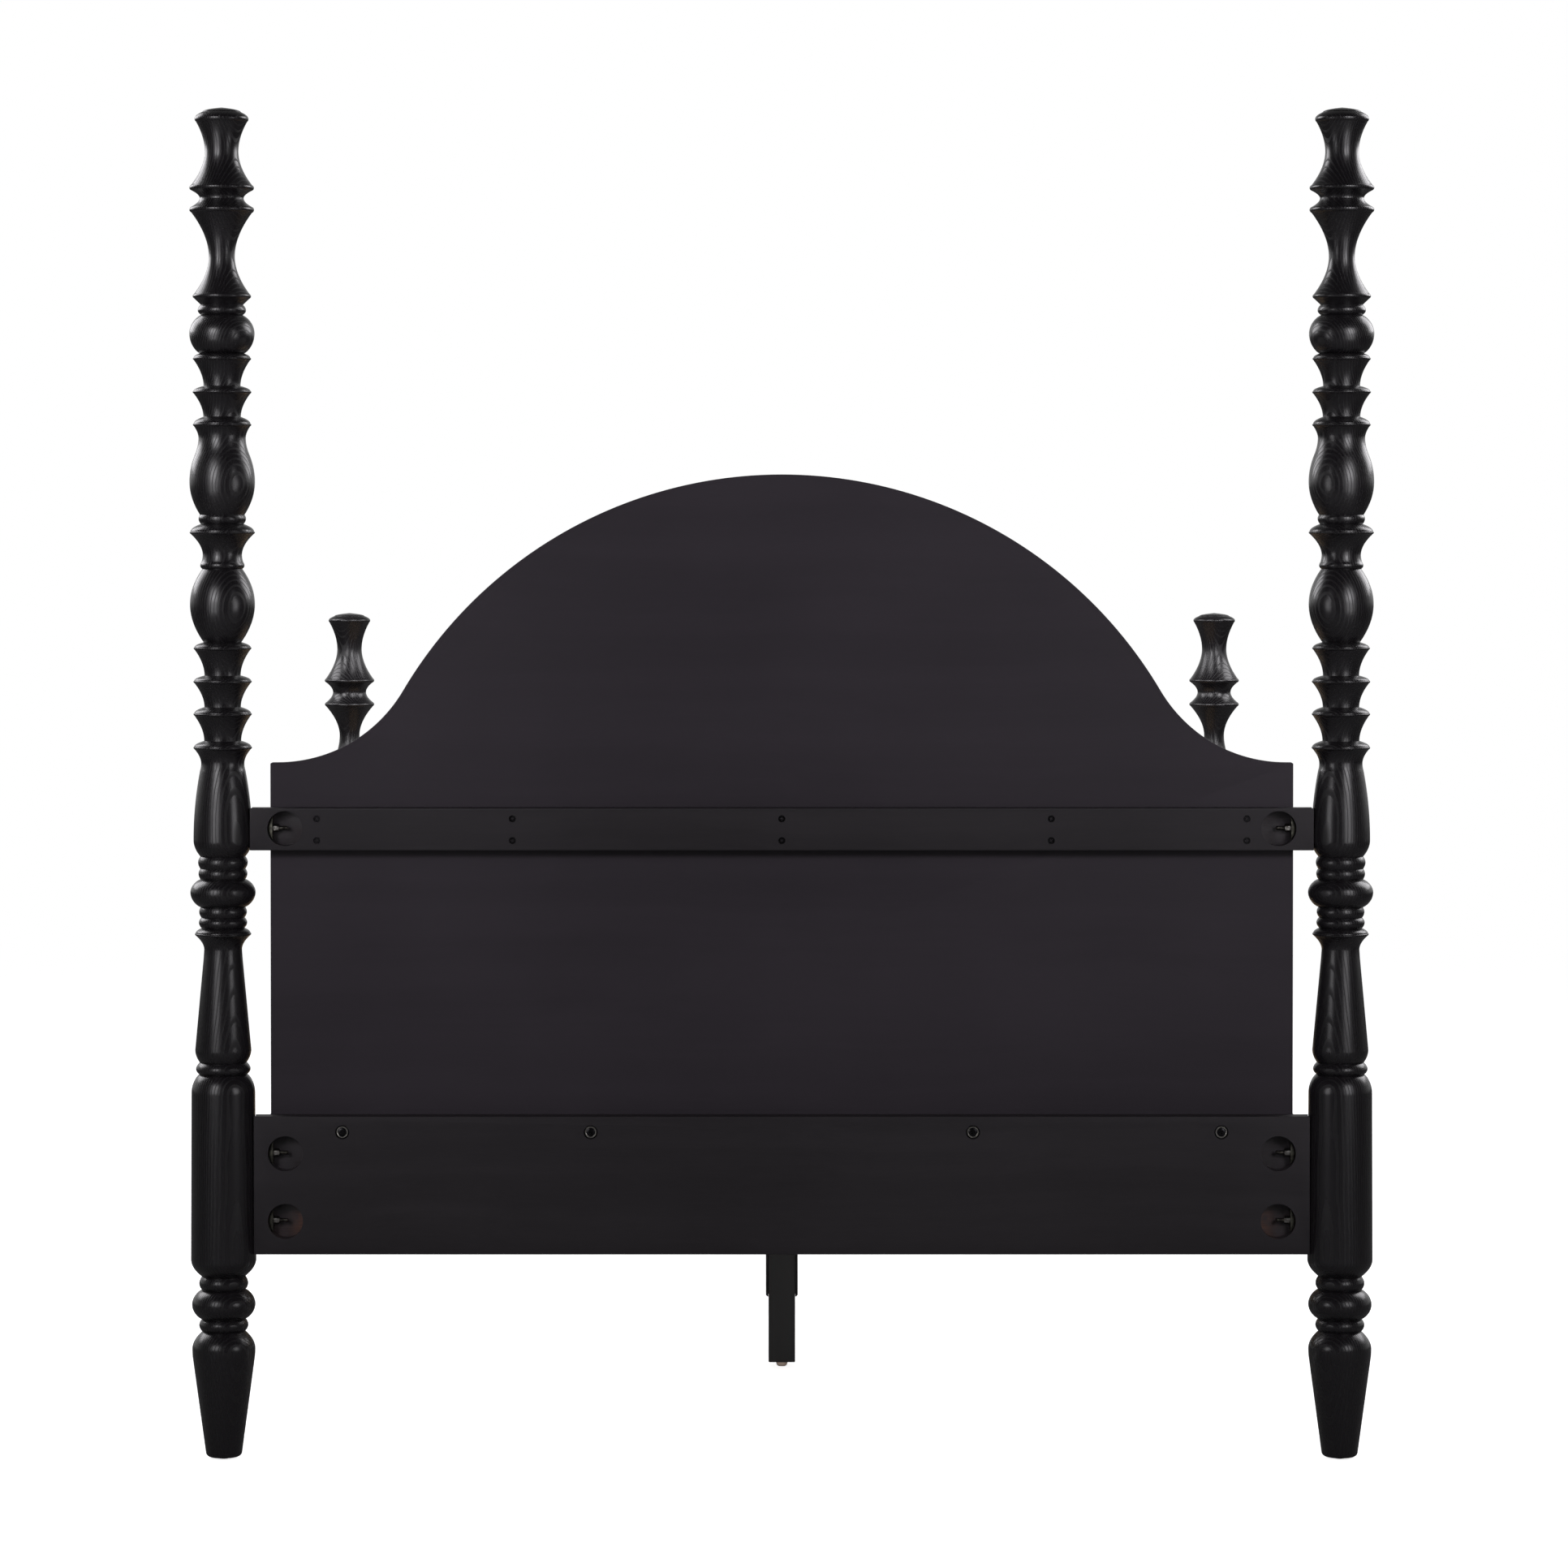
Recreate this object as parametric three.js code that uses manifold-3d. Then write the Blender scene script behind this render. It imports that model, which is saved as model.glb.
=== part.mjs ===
// A queen-size bed with four turned posts: an arched headboard, two side rails, a foot rail and a
// slatted deck on a centre beam. Millimetres, +Z up. X runs across the bed and +Y from head to foot.
// The origin is on the floor, under the middle of the bed.
import * as THREE from "three";
import { mergeVertices } from "three/addons/utils/BufferGeometryUtils.js";
import Module from "manifold-3d";

const wasm = await Module();
wasm.setup();

// ---- Driving dimensions ----
const POST_X = 796; // half the distance between the left and right posts' axes
const POST_Y = 1060; // half the distance between the head and foot posts' axes
const BARREL_RADIUS = 46.5; // the plain round length of a post that takes the rails
const RAIL_SOCKET_RADIUS = 46.9; // the hollow in a rail's end that fits round the barrel
const VASE_SOCKET_RADIUS = 42.4; // the same for the top rail, which meets the post's long vase
const HEAD_POST_HEIGHT = 1929;
const FOOT_POST_HEIGHT = 1167;
const POST_BASE = 3; // the wood of a post stands this far off the floor, on its glide
const POST_SIDES = 12;
const POST_GLIDE_RADIUS = 11;
const GAP = 0.3; // between pieces that touch
const OVERCUT = 1; // how far a cutter runs past the face that it opens
const SHANK_CLEARANCE = 0.5; // round a rod, a bolt or a stud in its hole

const HEADBOARD_RAIL_THICKNESS = 30;
const TOP_RAIL_LOW = 869;
const TOP_RAIL_HIGH = 929;
const BOTTOM_RAIL_LOW = 290;
const BOTTOM_RAIL_HIGH = 490;

const PANEL_HALF_WIDTH = 730;
const PANEL_THICKNESS = 25;
const PANEL_BOTTOM = 440;
const SHOULDER_HEIGHT = 992;
const CROWN_HEIGHT = 1403.6;
const CROWN_RADIUS = 628; // the arch's convex middle
const COVE_RADIUS = 210; // the hollow curve that joins the arch to each shoulder

const BED_RAIL_LOW = 293;
const BED_RAIL_HIGH = 400;
const BED_RAIL_THICKNESS = 25;

const CLEAT_WIDTH = 22;
const CLEAT_HEIGHT = 30;
const CLEAT_HALF_LENGTH = 940;
const SLAT_SEAT = 355; // the height of the cleats' and the beam's top
const SLAT_COUNT = 13;
const SLAT_WIDTH = 90;
const SLAT_THICKNESS = 20;
const SLAT_PITCH = 156;
const SLAT_CENTRE_Y = 6;
const SLAT_END_CLEARANCE = 4;

const BEAM_WIDTH = 42;
const BEAM_HEIGHT = 60;
const SHEET_STEEL = 3;
const HANGER_DEPTH = 40; // how far a hanger reaches along the beam
const HANGER_FLANGE = 16; // how wide its flange is, each side of the beam
const HANGER_DROP = 5; // its top edge lies this far under the slats

const LEG_Y = 272; // centre legs, to the head and to the foot of the middle
const LEG_WIDTH = 42;
const LEG_BASE = 9;
const SOCKET_LOW = 111;
const SOCKET_DEPTH = 34;
const SOCKET_PLATE_HEADWARD = 18; // how far its screw plate reaches past the leg, towards the head
const SOCKET_PLATE_FOOTWARD = 22;
const GLIDE_RADIUS = 9;
const GLIDE_HEIGHT = 8.5;
const GLIDE_TREAD_RADIUS = 5; // the flat that rests on the floor
const GLIDE_SHOULDER = 4.5; // the height of the rounded stretch above the tread
const GLIDE_STUD_RADIUS = 4;
const GLIDE_STUD_LENGTH = 34;

const POCKET_RADIUS = 25; // round pockets that give a spanner room to reach each nut
const POCKET_FROM_AXIS = 89.5; // pocket centre to post axis
const HEADBOARD_POCKET_DEPTH = 24;
const BED_RAIL_POCKET_DEPTH = 20.5;
const ROD_RADIUS = 4;
const ROD_START = 12; // the rod's buried end, from the post's axis
const ROD_END = 97; // the rod's free end, from the post's axis
const WASHER_RADIUS = 24.2;
const WASHER_CHORD = 18; // from the pocket's centre to the washer's flat
const WASHER_WIDTH = 15;
const NUT_RADIUS = 7.5;
const NUT_THICKNESS = 8;
const COLLAR_HALF_LENGTH = 1.5; // the stub that joins a bed rail's nut to its washer
const TOP_RAIL_ROD_Z = 900;
const BOTTOM_RAIL_ROD_Z = [437, 340.5];
const BED_RAIL_ROD_Z = 346.5;

const PANEL_BOLT_X = [-625.5, -272, 272, 625.5];
const PANEL_BOLT_Z = 467.5;
const PANEL_BOLT_HEAD_RADIUS = 9;
const PANEL_BOLT_SHANK_RADIUS = 3;
const PANEL_BOLT_HEAD_THICKNESS = 3;
const PANEL_BOLT_RECESS_RADIUS = 10.5;
const PANEL_BOLT_RECESS_DEPTH = 6;
const PANEL_BOLT_GRIP = 16; // shank length inside the panel
const SCREW_X = [-661, -383, 0, 383, 661];
const SCREW_Z = [883, 914];
const SCREW_RECESS_RADIUS = 5;
const SCREW_RECESS_DEPTH = 5;

// How many sides stand in for a circle.
const POCKET_SIDES = 16;
const HEAD_SIDES = 12;
const SHANK_SIDES = 8;
const SCREW_SIDES = 6;
const NUT_SIDES = 6;

// ---- Finishes ----
const finish = (color, roughness, metalness) =>
  new THREE.MeshStandardMaterial({ color, roughness, metalness });
const EBONISED_ASH = finish(0x1b1a1c, 0.38, 0);
const BLACK_PANEL = finish(0x2e2b30, 0.5, 0);
const BLACK_RAIL = finish(0x222123, 0.5, 0);
const PINE = finish(0xc9a877, 0.65, 0);
const BLACK_STEEL = finish(0x1c1c1e, 0.45, 0.6);
const ZINC = finish(0x9a9a98, 0.35, 0.9);
const TAN_PLASTIC = finish(0x8a7a68, 0.55, 0);

const bed = new THREE.Group();
bed.name = "four_poster_bed";

function addPiece(name, geometry, material) {
  const mesh = new THREE.Mesh(geometry, material);
  mesh.name = name;
  bed.add(mesh);
}

// ---- Solids ----
function solidOf(geometry) {
  const bare = geometry.clone();
  bare.deleteAttribute("normal");
  bare.deleteAttribute("uv");
  const merged = mergeVertices(bare, 1e-4);
  return new wasm.Manifold(
    new wasm.Mesh({
      numProp: 3,
      vertProperties: merged.attributes.position.array,
      triVerts: new Uint32Array(merged.index.array),
    }),
  );
}

function geometryOf(solid) {
  const mesh = solid.getMesh();
  const geometry = new THREE.BufferGeometry();
  geometry.setAttribute("position", new THREE.BufferAttribute(mesh.vertProperties, 3));
  geometry.setIndex(new THREE.BufferAttribute(mesh.triVerts, 1));
  geometry.computeVertexNormals();
  return geometry;
}

// The blank with every tool cut away from it.
function cut(blank, tools) {
  return geometryOf(tools.reduce((left, tool) => left.subtract(solidOf(tool)), solidOf(blank)));
}

// The pieces joined into one.
function join(pieces) {
  return geometryOf(pieces.map(solidOf).reduce((all, piece) => all.add(piece)));
}

// A box between its lowest and its highest corner.
function boxBetween(low, high) {
  const size = high.map((value, axis) => value - low[axis]);
  const middle = high.map((value, axis) => (value + low[axis]) / 2);
  return new THREE.BoxGeometry(...size).translate(...middle);
}

// A round bar along X, Y or Z from one end to the other, with its centre across that axis.
function barAlong(axis, radius, start, end, centre, sides = SHANK_SIDES) {
  const bar = new THREE.CylinderGeometry(radius, radius, end - start, sides);
  bar.translate(0, (start + end) / 2, 0);
  if (axis === "x") return bar.rotateZ(-Math.PI / 2).translate(0, centre[0], centre[1]);
  if (axis === "z") return bar.rotateX(Math.PI / 2).translate(centre[0], centre[1], 0);
  return bar.translate(centre[0], 0, centre[1]);
}

// ---- Turned posts ----
// A turning is a list of steps from the floor up. Each step says where it ends (height, radius) and
// which curve leads there. A curve gives points (along, out) from its thin end to its thick end.
const straight = (s) => [s, s];
const swelling = (s) => [s, 1 - (1 - s) ** 2];
const hollow = (s) => [s, s ** 1.9];
const rounded = (s) => [1 - Math.cos((s * Math.PI) / 2), Math.sin((s * Math.PI) / 2) ** 1.5];
const CUTS = new Map([
  [straight, 1],
  [swelling, 2],
  [hollow, 2],
  [rounded, 2],
]);

const step = (z, r, curve = straight) => ({ z, r, curve });
const bead = (peakZ, peakR, endZ, endR) => [step(peakZ, peakR), step(endZ, endR)];
const ball = (peakZ, peakR, endZ, endR) => [step(peakZ, peakR, rounded), step(endZ, endR, rounded)];
const vase = (peakZ, peakR, endZ, endR) => [step(peakZ, peakR, swelling), step(endZ, endR, swelling)];
// A disc flares out of a long hollow below and drops steeply to the crease above it.
const disc = (tipZ, tipR, endZ, endR) => [step(tipZ, tipR, hollow), step(endZ, endR)];

const SHARED_TURNING = [
  step(POST_BASE, 20.5),
  step(8, 25.6),
  step(146, 44.3),
  ...vase(157, 44.8, 182, 30.4),
  ...bead(191.4, 34.8, 199.8, 30.7),
  ...ball(220.4, 45, 241.3, 30.7),
  ...bead(250.5, 34.8, 260.5, 30.7),
  step(285, BARREL_RADIUS, swelling),
  step(522, BARREL_RADIUS - 1.2),
  step(549, 33.8, rounded),
  ...bead(556.5, 38.7, 566, 33.3),
  step(582, 39.8, swelling),
  step(715, 27.6),
  step(727, 26.8),
  ...disc(749.4, 40, 757.5, 30.4),
  ...bead(765.6, 33.8, 772.6, 30.6),
  ...bead(780.7, 33.6, 787.6, 31.6),
  ...ball(808.5, 46.2, 827, 31.8),
  ...bead(835.2, 34.4, 842.2, 32),
  ...bead(851.4, 35, 859.6, 31.9),
];

const HEAD_UPPER_TURNING = [
  ...vase(882.8, 41.8, 982, 32.2),
  step(992, 30.6),
  ...disc(1015, 41.6, 1024.3, 26.2),
  ...disc(1062.6, 41.4, 1071.8, 26.2),
  ...disc(1109, 41.4, 1119.4, 26.2),
  ...disc(1156.5, 41.4, 1167, 27.8),
  ...vase(1219.2, 46, 1270.2, 29.6),
  step(1274, 31.5),
  step(1289, 28.2, hollow),
  ...disc(1322.4, 46.5, 1335.2, 30.8),
  ...bead(1342, 34.3, 1348, 32.3),
  ...vase(1393.2, 46.5, 1432, 38.5),
  step(1456, 33.5, hollow),
  ...disc(1475.5, 41.4, 1486, 26.6),
  ...disc(1523.1, 41.4, 1533.5, 26.4),
  ...disc(1569.5, 41.4, 1579.9, 30.2),
  ...ball(1604.3, 46.3, 1633.3, 29),
  ...bead(1640.2, 34.1, 1648.4, 30.8),
  step(1658.8, 41.4),
  step(1714.5, 18.4, hollow),
  step(1782.5, 45.8, hollow),
  step(1798, 31),
  step(1812, 45.8),
  step(1866, 23.6, hollow),
  step(1912.8, 38.2, hollow),
  step(1921.5, 28),
  step(HEAD_POST_HEIGHT, 0, swelling),
];

const FOOT_UPPER_TURNING = [
  step(873, 41.3),
  step(942, 18.2, hollow),
  step(999, 45.4, hollow),
  step(1021.5, 30.3),
  step(1043, 45.5),
  step(1101, 22.4, hollow),
  step(1153.5, 38.2, hollow),
  step(1161, 28),
  step(FOOT_POST_HEIGHT, 0, swelling),
];

function turnedPost(turning) {
  const outline = [new THREE.Vector2(0, POST_BASE)];
  let from = { z: POST_BASE, r: 0 };
  for (const to of turning) {
    const cuts = CUTS.get(to.curve);
    const [thin, thick] = to.r >= from.r ? [from, to] : [to, from];
    for (let i = 1; i <= cuts; i += 1) {
      const s = to === thick ? i / cuts : 1 - i / cuts;
      const [along, out] = to.curve(s);
      const r = thin.r + (thick.r - thin.r) * out;
      const z = thin.z + (thick.z - thin.z) * along;
      outline.push(new THREE.Vector2(r, z));
    }
    from = to;
  }
  return new THREE.LatheGeometry(outline, POST_SIDES).rotateX(Math.PI / 2);
}

// ---- Where each rod goes ----
// A rod is laid out in its own frame, along +X from the post's axis, and then placed by turn (about Z)
// and by the post's axis; open is the side, +1 or -1 across the rod, that its pocket opens to.
const SIDES = [
  { side: "left", sign: -1 },
  { side: "right", sign: 1 },
];
const ENDS = [
  { end: "head", sign: -1 },
  { end: "foot", sign: 1 },
];

function rodPlaces() {
  const places = [];
  for (const { side, sign } of SIDES) {
    const inward = sign < 0 ? 0 : Math.PI;
    const levels = [TOP_RAIL_ROD_Z, ...BOTTOM_RAIL_ROD_Z];
    ["top", "middle", "low"].forEach((level, i) => {
      places.push({
        kind: "headboard",
        name: `${level}_${side}`,
        post: `head_post_${side}`,
        at: [sign * POST_X, -POST_Y, levels[i]],
        turn: inward,
        open: sign,
      });
    });
    places.push({
      kind: "foot_rail",
      name: side,
      post: `foot_post_${side}`,
      at: [sign * POST_X, POST_Y, BED_RAIL_ROD_Z],
      turn: inward,
      open: sign,
    });
    for (const corner of ENDS) {
      places.push({
        kind: "side_rail",
        name: `${corner.end}_${side}`,
        post: `${corner.end}_post_${side}`,
        at: [sign * POST_X, corner.sign * POST_Y, BED_RAIL_ROD_Z],
        turn: (-corner.sign * Math.PI) / 2,
        open: -sign * corner.sign,
      });
    }
  }
  return places;
}
const RODS = rodPlaces();

const placed = (geometry, { at, turn }) => geometry.rotateZ(turn).translate(...at);
const rodClearance = (start) =>
  barAlong("x", ROD_RADIUS + SHANK_CLEARANCE, start, POCKET_FROM_AXIS, [0, 0]);
const rodHole = (place) => placed(rodClearance(ROD_START - OVERCUT), place);

// The pocket is bored from the rail's face to its depth, square to the rod.
function pocket(place, railThickness, depth) {
  const face = (place.open * railThickness) / 2;
  const ends = [face - place.open * depth, face + place.open * OVERCUT].sort((a, b) => a - b);
  const centre = [POCKET_FROM_AXIS, 0];
  return placed(barAlong("y", POCKET_RADIUS, ...ends, centre, POCKET_SIDES), place);
}

function halfMoonWasher(place) {
  const halfAngle = Math.acos(WASHER_CHORD / WASHER_RADIUS);
  const outline = new THREE.Shape();
  outline.absarc(POCKET_FROM_AXIS, 0, WASHER_RADIUS, Math.PI - halfAngle, Math.PI + halfAngle);
  const moon = new THREE.ExtrudeGeometry(outline, {
    depth: WASHER_WIDTH,
    bevelEnabled: false,
    curveSegments: 5,
  });
  moon.translate(0, 0, -WASHER_WIDTH / 2).rotateX(Math.PI / 2);
  return placed(cut(moon, [rodClearance(0)]), place);
}

function rodWithNut(place) {
  const nutStart = POCKET_FROM_AXIS - WASHER_CHORD + GAP;
  const rod = barAlong("x", ROD_RADIUS, ROD_START, ROD_END, [0, 0]);
  const nut = barAlong("x", NUT_RADIUS, nutStart, nutStart + NUT_THICKNESS, [0, 0], NUT_SIDES);
  return placed(join([rod, nut]), place);
}

// ---- Rails ----
// A rail between two posts, laid along X about its own middle, with its ends hollowed to fit them.
function railBetween(halfSpan, thickness, low, high, socketRadius) {
  const half = thickness / 2;
  const spread = Math.asin(half / socketRadius);
  const outline = new THREE.Shape();
  outline.absarc(halfSpan, 0, socketRadius, Math.PI + spread, Math.PI - spread, true);
  outline.absarc(-halfSpan, 0, socketRadius, spread, -spread, true);
  const rail = new THREE.ExtrudeGeometry(outline, {
    depth: high - low,
    bevelEnabled: false,
    curveSegments: 3,
  });
  return rail.translate(0, 0, low);
}

const rodsOf = (kind, test = () => true) => RODS.filter((place) => place.kind === kind && test(place));

function railTools(places, thickness, depth) {
  return places.flatMap((place) => [rodHole(place), pocket(place, thickness, depth)]);
}

function headboard() {
  const backFace = -POST_Y - HEADBOARD_RAIL_THICKNESS / 2;
  const panelBack = -POST_Y + HEADBOARD_RAIL_THICKNESS / 2 + GAP;

  const topRods = rodsOf("headboard", (place) => place.at[2] === TOP_RAIL_ROD_Z);
  const recess = (radius, depth, centre, sides) =>
    barAlong("y", radius, backFace - OVERCUT, backFace + depth, centre, sides);
  const screwRecesses = SCREW_X.flatMap((x) =>
    SCREW_Z.map((z) => recess(SCREW_RECESS_RADIUS, SCREW_RECESS_DEPTH, [x, z], SCREW_SIDES)),
  );
  const topRail = railBetween(
    POST_X,
    HEADBOARD_RAIL_THICKNESS,
    TOP_RAIL_LOW,
    TOP_RAIL_HIGH,
    VASE_SOCKET_RADIUS,
  ).translate(0, -POST_Y, 0);
  addPiece(
    "headboard_top_rail",
    cut(topRail, [
      ...railTools(topRods, HEADBOARD_RAIL_THICKNESS, HEADBOARD_POCKET_DEPTH),
      ...screwRecesses,
    ]),
    BLACK_RAIL,
  );

  const bottomRods = rodsOf("headboard", (place) => place.at[2] !== TOP_RAIL_ROD_Z);
  const shankHole = (start, end, x) =>
    barAlong("y", PANEL_BOLT_SHANK_RADIUS + SHANK_CLEARANCE, start, end, [x, PANEL_BOLT_Z]);
  const boltHoles = PANEL_BOLT_X.flatMap((x) => [
    recess(PANEL_BOLT_RECESS_RADIUS, PANEL_BOLT_RECESS_DEPTH, [x, PANEL_BOLT_Z], HEAD_SIDES),
    shankHole(backFace, panelBack, x),
  ]);
  const bottomRail = railBetween(
    POST_X,
    HEADBOARD_RAIL_THICKNESS,
    BOTTOM_RAIL_LOW,
    BOTTOM_RAIL_HIGH,
    RAIL_SOCKET_RADIUS,
  ).translate(0, -POST_Y, 0);
  addPiece(
    "headboard_bottom_rail",
    cut(bottomRail, [
      ...railTools(bottomRods, HEADBOARD_RAIL_THICKNESS, HEADBOARD_POCKET_DEPTH),
      ...boltHoles,
    ]),
    BLACK_RAIL,
  );

  // The crown and each cove are arcs that touch: their centres lie both radii apart.
  const crownCentre = CROWN_HEIGHT - CROWN_RADIUS;
  const coveCentre = SHOULDER_HEIGHT + COVE_RADIUS;
  const reach = CROWN_RADIUS + COVE_RADIUS;
  const rise = Math.asin((coveCentre - crownCentre) / reach);
  const coveX = reach * Math.cos(rise);
  const outline = new THREE.Shape();
  outline.moveTo(-PANEL_HALF_WIDTH, PANEL_BOTTOM);
  outline.lineTo(PANEL_HALF_WIDTH, PANEL_BOTTOM);
  outline.lineTo(PANEL_HALF_WIDTH, SHOULDER_HEIGHT);
  outline.absarc(coveX, coveCentre, COVE_RADIUS, -Math.PI / 2, rise - Math.PI, true);
  outline.absarc(0, crownCentre, CROWN_RADIUS, rise, Math.PI - rise);
  outline.absarc(-coveX, coveCentre, COVE_RADIUS, -rise, -Math.PI / 2, true);
  outline.lineTo(-PANEL_HALF_WIDTH, SHOULDER_HEIGHT);
  const panel = new THREE.ExtrudeGeometry(outline, {
    depth: PANEL_THICKNESS,
    bevelEnabled: false,
    curveSegments: 12,
  });
  panel.rotateX(Math.PI / 2).translate(0, panelBack + PANEL_THICKNESS, 0);
  const shankHoles = PANEL_BOLT_X.map((x) =>
    shankHole(panelBack - OVERCUT, panelBack + PANEL_BOLT_GRIP + OVERCUT, x),
  );
  addPiece("headboard_panel", cut(panel, shankHoles), BLACK_PANEL);

  PANEL_BOLT_X.forEach((x, i) => {
    const seat = backFace + PANEL_BOLT_RECESS_DEPTH - GAP;
    const top = seat - PANEL_BOLT_HEAD_THICKNESS;
    const centre = [x, PANEL_BOLT_Z];
    const head = barAlong("y", PANEL_BOLT_HEAD_RADIUS, top, seat, centre, HEAD_SIDES);
    const shank = barAlong("y", PANEL_BOLT_SHANK_RADIUS, top, panelBack + PANEL_BOLT_GRIP, centre);
    addPiece(`panel_bolt_${i + 1}`, join([head, shank]), ZINC);
  });
}

function posts() {
  const kinds = [
    { end: "head", y: -POST_Y, turning: [...SHARED_TURNING, ...HEAD_UPPER_TURNING] },
    { end: "foot", y: POST_Y, turning: [...SHARED_TURNING, ...FOOT_UPPER_TURNING] },
  ];
  for (const { end, y, turning } of kinds) {
    for (const { side, sign } of SIDES) {
      const name = `${end}_post_${side}`;
      const post = turnedPost(turning).translate(sign * POST_X, y, 0);
      const holes = RODS.filter((place) => place.post === name).map(rodHole);
      addPiece(name, cut(post, holes), EBONISED_ASH);
      const centre = [sign * POST_X, y];
      const glide = barAlong("z", POST_GLIDE_RADIUS, 0, POST_BASE - GAP, centre, HEAD_SIDES);
      addPiece(`post_glide_${end}_${side}`, glide, ZINC);
    }
  }
}

function bedRails() {
  for (const { side, sign } of SIDES) {
    const places = rodsOf("side_rail", (place) => place.name.endsWith(side));
    const rail = railBetween(
      POST_Y,
      BED_RAIL_THICKNESS,
      BED_RAIL_LOW,
      BED_RAIL_HIGH,
      RAIL_SOCKET_RADIUS,
    );
    rail.rotateZ(Math.PI / 2).translate(sign * POST_X, 0, 0);
    const tools = railTools(places, BED_RAIL_THICKNESS, BED_RAIL_POCKET_DEPTH);
    addPiece(`side_rail_${side}`, cut(rail, tools), BLACK_RAIL);

    const face = POST_X - BED_RAIL_THICKNESS / 2 - GAP;
    const cleatX = [sign * face, sign * (face - CLEAT_WIDTH)].sort((a, b) => a - b);
    addPiece(
      `slat_cleat_${side}`,
      boxBetween(
        [cleatX[0], -CLEAT_HALF_LENGTH, SLAT_SEAT - CLEAT_HEIGHT],
        [cleatX[1], CLEAT_HALF_LENGTH, SLAT_SEAT],
      ),
      BLACK_RAIL,
    );
  }
  const footRail = railBetween(
    POST_X,
    BED_RAIL_THICKNESS,
    BED_RAIL_LOW,
    BED_RAIL_HIGH,
    RAIL_SOCKET_RADIUS,
  ).translate(0, POST_Y, 0);
  const footTools = railTools(rodsOf("foot_rail"), BED_RAIL_THICKNESS, BED_RAIL_POCKET_DEPTH);
  addPiece("foot_rail", cut(footRail, footTools), BLACK_RAIL);
}

// The headboard's rods and washers are separate pieces; on the thinner bed rails they are joined.
function connectors() {
  for (const place of RODS) {
    const rod = rodWithNut(place);
    const washer = halfMoonWasher(place);
    if (place.kind === "headboard") {
      addPiece(`headboard_rod_${place.name}`, rod, ZINC);
      addPiece(`half_moon_washer_${place.name}`, washer, ZINC);
    } else {
      const nutFace = POCKET_FROM_AXIS - WASHER_CHORD;
      const collarEnds = [nutFace - COLLAR_HALF_LENGTH, nutFace + COLLAR_HALF_LENGTH];
      const collar = placed(barAlong("x", ROD_RADIUS + 2 * SHANK_CLEARANCE, ...collarEnds, [0, 0]), place);
      addPiece(`${place.kind}_rod_${place.name}`, join([rod, washer, collar]), ZINC);
    }
  }
}

function slatDeck() {
  const beamLow = SLAT_SEAT - BEAM_HEIGHT;
  const headFace = -POST_Y + HEADBOARD_RAIL_THICKNESS / 2 + GAP;
  const footFace = POST_Y - BED_RAIL_THICKNESS / 2 - GAP;
  const beamHalf = BEAM_WIDTH / 2;
  addPiece(
    "centre_beam",
    boxBetween(
      [-beamHalf, headFace + SHEET_STEEL + GAP, beamLow],
      [beamHalf, footFace - SHEET_STEEL - GAP, SLAT_SEAT],
    ),
    BLACK_RAIL,
  );

  // Each hanger is a bent sheet that holds one end of the beam against a rail.
  const inner = beamHalf + GAP;
  const outer = inner + SHEET_STEEL;
  const floor = beamLow - GAP;
  const top = SLAT_SEAT - HANGER_DROP;
  for (const { end, sign } of ENDS) {
    const face = sign < 0 ? headFace : footFace;
    const backPlate = [face, face - sign * SHEET_STEEL].sort((a, b) => a - b);
    const reach = [face, face - sign * HANGER_DEPTH].sort((a, b) => a - b);
    const saddle = cut(
      boxBetween([-outer, reach[0], floor - SHEET_STEEL], [outer, reach[1], top]),
      [boxBetween([-inner, reach[0] - OVERCUT, floor], [inner, reach[1] + OVERCUT, SLAT_SEAT])],
    );
    const flange = boxBetween(
      [-outer - HANGER_FLANGE, backPlate[0], floor - SHEET_STEEL],
      [outer + HANGER_FLANGE, backPlate[1], top],
    );
    addPiece(`beam_hanger_${end}`, join([saddle, flange]), BLACK_STEEL);
  }

  const slatHalf = POST_X - BED_RAIL_THICKNESS / 2 - SLAT_END_CLEARANCE;
  for (let i = 0; i < SLAT_COUNT; i += 1) {
    const y = SLAT_CENTRE_Y + (i - (SLAT_COUNT - 1) / 2) * SLAT_PITCH;
    addPiece(
      `slat_${String(i + 1).padStart(2, "0")}`,
      boxBetween(
        [-slatHalf, y - SLAT_WIDTH / 2, SLAT_SEAT + GAP],
        [slatHalf, y + SLAT_WIDTH / 2, SLAT_SEAT + SLAT_THICKNESS],
      ),
      PINE,
    );
  }
}

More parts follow.
